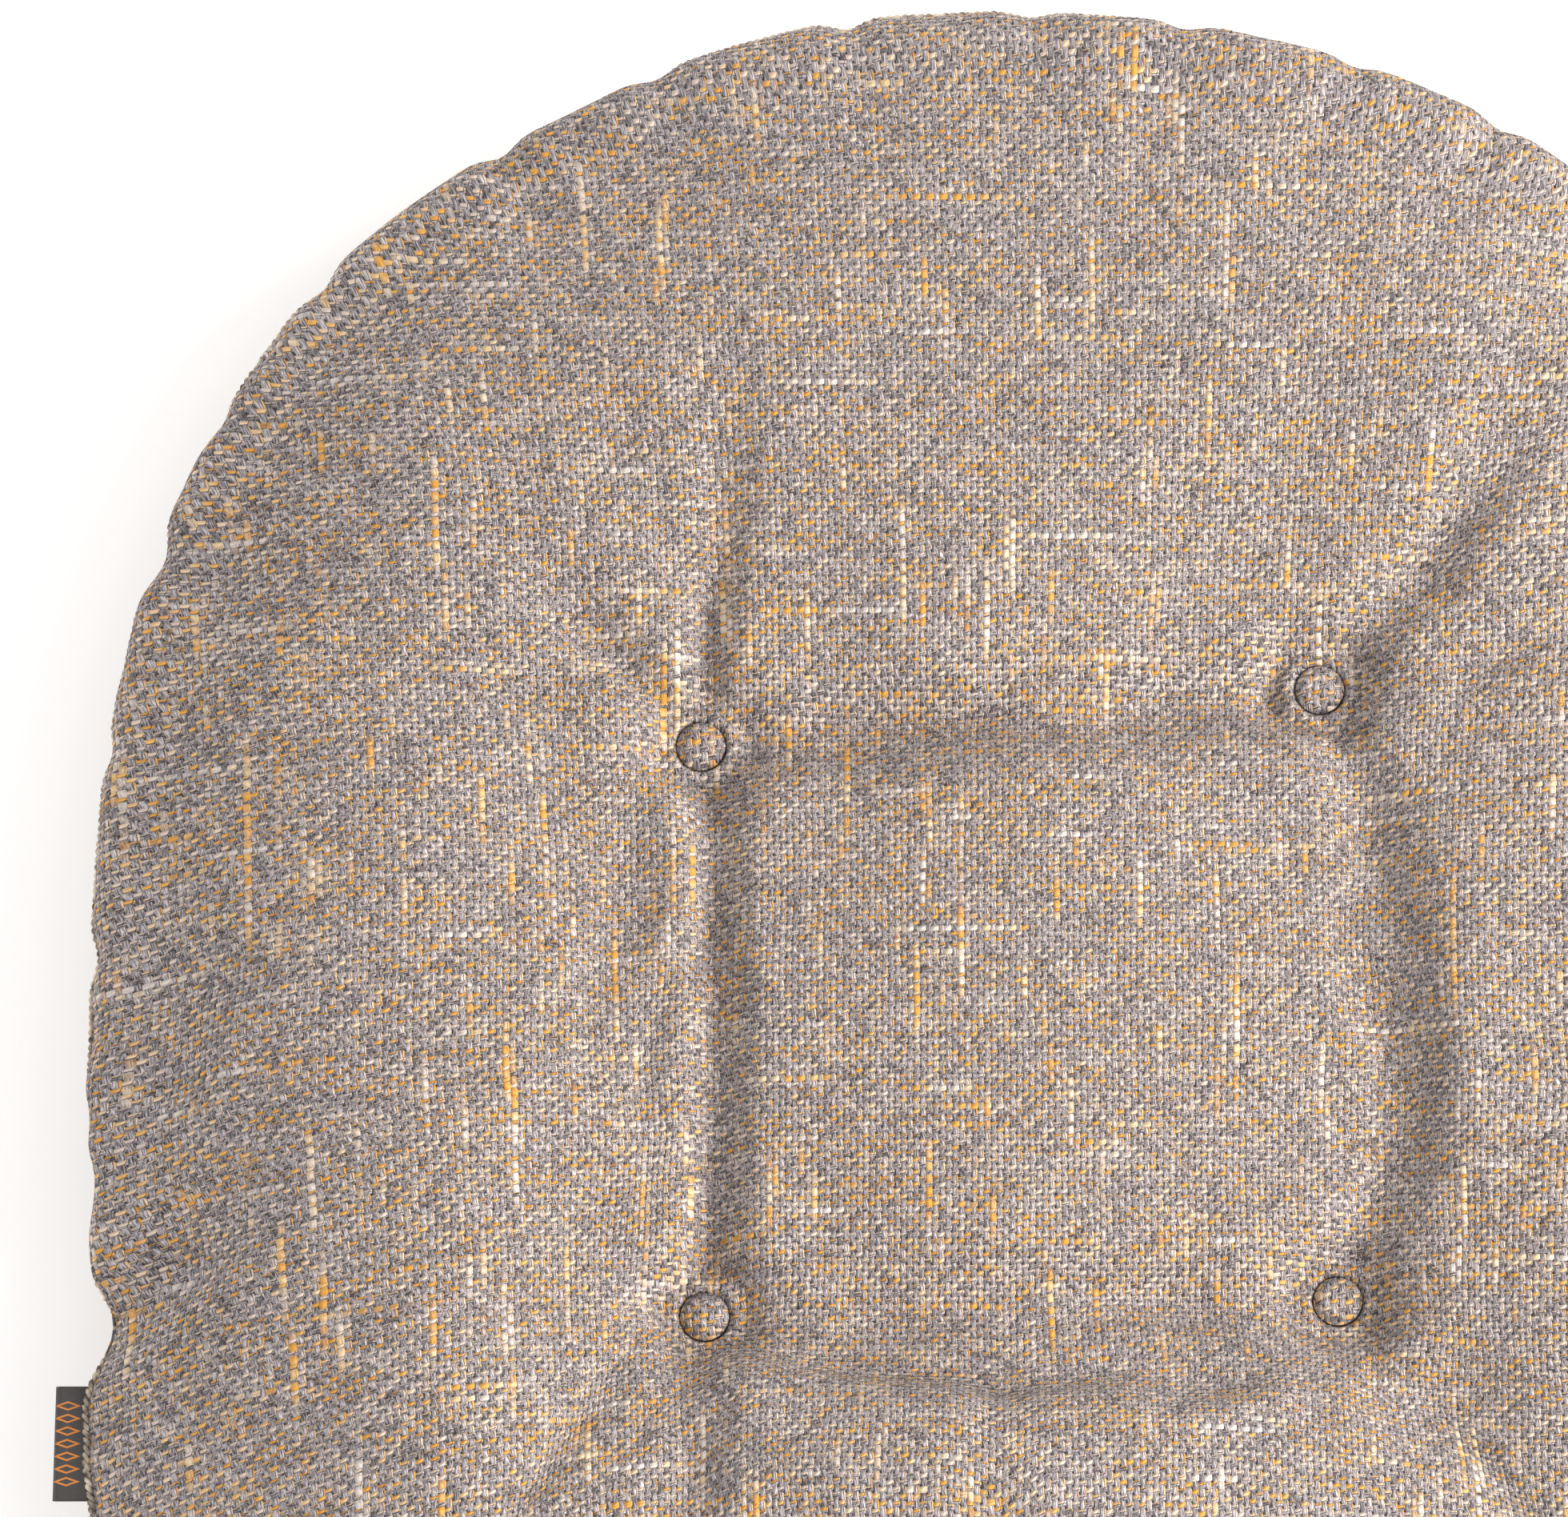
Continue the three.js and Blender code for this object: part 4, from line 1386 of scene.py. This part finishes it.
@dataclass
class Studio:
    """Pale floor, soft light mostly from the front right and a camera almost overhead."""

    elevation_deg: float = 78.0
    lens: float = 600.0
    view_width: float = 405.5 * MM
    middle: tuple[float, float, float] = (-59.6 * MM, 44 * MM, 60 * MM)
    key_power: float = 74.0
    back_power: float = 20.0
    fill_power: float = 9.0
    sky: float = 0.72
    floor_glow: float = 0.27

    def build(self) -> None:
        """Adds the floor, the lights, the surroundings and the camera."""
        self._floor()
        self._lights()
        self._camera()
        view = bpy.context.scene.view_settings
        view.view_transform = "Standard"

    def _floor(self) -> None:
        """A wide pale floor at the height the pad stands on."""
        bm = bmesh.new()
        bmesh.ops.create_grid(bm, x_segments=1, y_segments=1, size=4.0)
        floor = finished(bm, "floor")
        t = NodeTree("floor_paint")
        glow = {"Emission Color": linear("FFFFFF"), "Emission Strength": self.floor_glow}
        paint = t.surface({"Base Color": linear("FBFBFB"), "Roughness": 0.9} | glow)
        floor.data.materials.append(paint)

    def _lights(self) -> None:
        """A broad key light, two weaker ones across from it, and even light from all round."""
        self._lamp("key", self.key_power, 1.3, (1.5, -0.95, 1.35))
        self._lamp("back", self.back_power, 0.7, (1.5, 0.7, 0.95))
        self._lamp("fill", self.fill_power, 1.6, (-1.5, 0.7, 0.9))
        world = bpy.data.worlds.new("studio")
        world.use_nodes = True
        sky = world.node_tree.nodes["Background"]
        sky.inputs[0].default_value = linear("FFFFFF")
        sky.inputs[1].default_value = self.sky
        bpy.context.scene.world = world

    @staticmethod
    def _lamp(name: str, power: float, size: float, place: tuple[float, float, float]) -> None:
        """A round soft lamp aimed at the pad."""
        light = bpy.data.lights.new(name, "AREA")
        light.shape = "DISK"
        light.size = size
        light.energy = power
        light.color = linear("FFF8F0")[:3]
        lamp = bpy.data.objects.new(name, light)
        bpy.context.scene.collection.objects.link(lamp)
        lamp.location = place
        aim = Vector((0.0, 0.0, 0.05)) - lamp.location
        lamp.rotation_euler = aim.to_track_quat("-Z", "Y").to_euler()

    def _camera(self) -> None:
        """A long lens at the front, looking almost straight down."""
        data = bpy.data.cameras.new("camera")
        data.lens = self.lens
        data.clip_end = 20.0
        camera = bpy.data.objects.new("camera", data)
        bpy.context.scene.collection.objects.link(camera)
        bpy.context.scene.camera = camera
        distance = self.view_width * self.lens / data.sensor_width
        tilt = math.radians(self.elevation_deg)
        back = Vector((0.0, -math.cos(tilt), math.sin(tilt)))
        camera.location = Vector(self.middle) + back * distance
        camera.rotation_euler = (-back).to_track_quat("-Z", "Y").to_euler()


# ---------------------------------------------------------------- the pad

GATHERS = (
    Gather(61, 2.6 * MM), Gather(70, 2.2 * MM, skew=0.1), Gather(80, 2.4 * MM, skew=-0.1),
    Gather(89, 2.0 * MM), Gather(99.5, 3.0 * MM, skew=0.08), Gather(111, 2.6 * MM),
    Gather(118, 5.0 * MM, width=50 * MM, reach=60 * MM),
    Gather(121, 3.2 * MM, skew=-0.12), Gather(134, 2.8 * MM, reach=44 * MM),
    Gather(144, 2.2 * MM), Gather(153, 4.6 * MM, width=7.5 * MM, reach=40 * MM, skew=0.1),
    Gather(165, 2.4 * MM), Gather(178, 2.6 * MM), Gather(188, 1.6 * MM),
    Gather(192.5, 7.5 * MM, width=18 * MM, reach=50 * MM),
    Gather(200.5, 9.5 * MM, width=12 * MM, reach=40 * MM, skew=0.2),
    Gather(222, 2.0 * MM), Gather(238, 2.4 * MM), Gather(251, 2.2 * MM), Gather(262, 2.0 * MM),
    Gather(272, 2.4 * MM), Gather(283, 2.0 * MM), Gather(295, 2.6 * MM), Gather(309, 2.2 * MM),
    Gather(325, 2.4 * MM), Gather(341, 6.0 * MM, width=11 * MM, reach=38 * MM),
    Gather(353, 2.2 * MM), Gather(6, 2.4 * MM), Gather(18, 2.6 * MM), Gather(30, 2.2 * MM),
    Gather(41, 2.8 * MM), Gather(51, 2.4 * MM),
)

FOLDS = (
    Fold("back_left", 133, 76 * MM, 6.0 * MM, 10.0 * MM, bend=0.06),
    Fold("back_left", 85, 112 * MM, 7 * MM, 10.0 * MM),
    Fold("back_left", 196, 52 * MM, 7 * MM, 5.0 * MM),
    Fold("back_left", 224, 44 * MM, 7 * MM, 4.0 * MM),
    Fold("back_left", 5.3, 161 * MM, 12 * MM, 15.0 * MM, bend=-0.01, through=True),
    Fold("back_left", -62, 44 * MM, 8 * MM, 6.0 * MM),
    Fold("back_left", -89.6, 150 * MM, 6.6 * MM, 9.0 * MM, bend=0.03, through=True),
    Fold("back_right", 46, 124 * MM, 10 * MM, 10.0 * MM, bend=0.24),
    Fold("back_right", 124, 46 * MM, 7 * MM, 5.0 * MM),
    Fold("back_right", -72, 50 * MM, 8 * MM, 3.0 * MM),
    Fold("back_right", -88.6, 161 * MM, 7.0 * MM, 2.6 * MM, bend=0.11, through=True),
    Fold("back_right", 6, 64 * MM, 9 * MM, 5.5 * MM),
    Fold("front_left", 84, 50 * MM, 8 * MM, 4.0 * MM),
    Fold("front_left", 178, 66 * MM, 9 * MM, 4.4 * MM),
    Fold("front_left", 258, 56 * MM, 7 * MM, 6.5 * MM, bend=0.1),
    Fold("front_left", 1.4, 163 * MM, 10 * MM, 5.0 * MM, bend=-0.005, through=True),
    Fold("front_right", 70, 50 * MM, 8 * MM, 5.0 * MM),
    Fold("front_right", -50, 64 * MM, 9 * MM, 6.5 * MM),
    Fold("front_right", -100, 46 * MM, 7 * MM, 4.5 * MM),
)

SWELLS = (
    Swell(8 * MM, -128 * MM, 60 * MM, 18 * MM, 7 * MM),
    Swell(-87 * MM, -44 * MM, 6 * MM, 36 * MM, 3.5 * MM),
    Swell(116 * MM, -34 * MM, 11 * MM, 48 * MM, 3.5 * MM),
    Swell(-150 * MM, -132 * MM, 30 * MM, 24 * MM, 3 * MM),
)


def finish_nodes(materials: dict[str, bpy.types.Material]) -> None:
    """Gives the nodes that stay their materials.

    Args:
        materials: The material by the start of a node's name.
    """
    for piece in list(bpy.context.scene.objects):
        for start, material in materials.items():
            if piece.type == "MESH" and piece.name.startswith(start):
                for slot in piece.material_slots:
                    slot.material = material


def main() -> None:
    """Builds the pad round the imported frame, and lights it."""
    logging.basicConfig(level=logging.INFO, format="%(name)s: %(message)s")
    low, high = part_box("cover_top")
    tufts = [Tuft.from_frame(place) for place in PLACES]
    outline = PadOutline(width=high[0] - low[0], depth=high[1] - low[1])
    shape = PadCover(
        outline, tufts, low[2], high[2], gathers=GATHERS, folds=FOLDS, swells=SWELLS
    )
    cover = shape.build()
    cloth = SlubWeave().material("slub_weave", Coordinates.FABRIC_MAP)
    button_cloth = SlubWeave().material("button_weave", Coordinates.OBJECT)
    CoverPanels(cover, cloth).build()
    thread = THREAD.material("seam_thread")
    EdgeSeam(cover, ROLL.material("edge_yarn"), thread).build()
    Filling(cover, outline.widest_y).build(WADDING.material("wadding"), FOAM.material("foam"))
    nylon = NYLON.material("nylon")
    for tuft in tufts:
        TuftedButton(tuft, button_cloth, nylon).build()
    SideLabel(TwillTape().material("label_tape")).build()
    bpy.data.objects.remove(cover)
    twine, nickel = TWINE.material("twine"), NICKEL.material("nickel")
    finish_nodes(
        {"button_cap": nickel, "button_back": nickel, "tufting_twine": twine, "twine_knot": twine}
    )
    Studio().build()


if __name__ == "__main__":
    main()
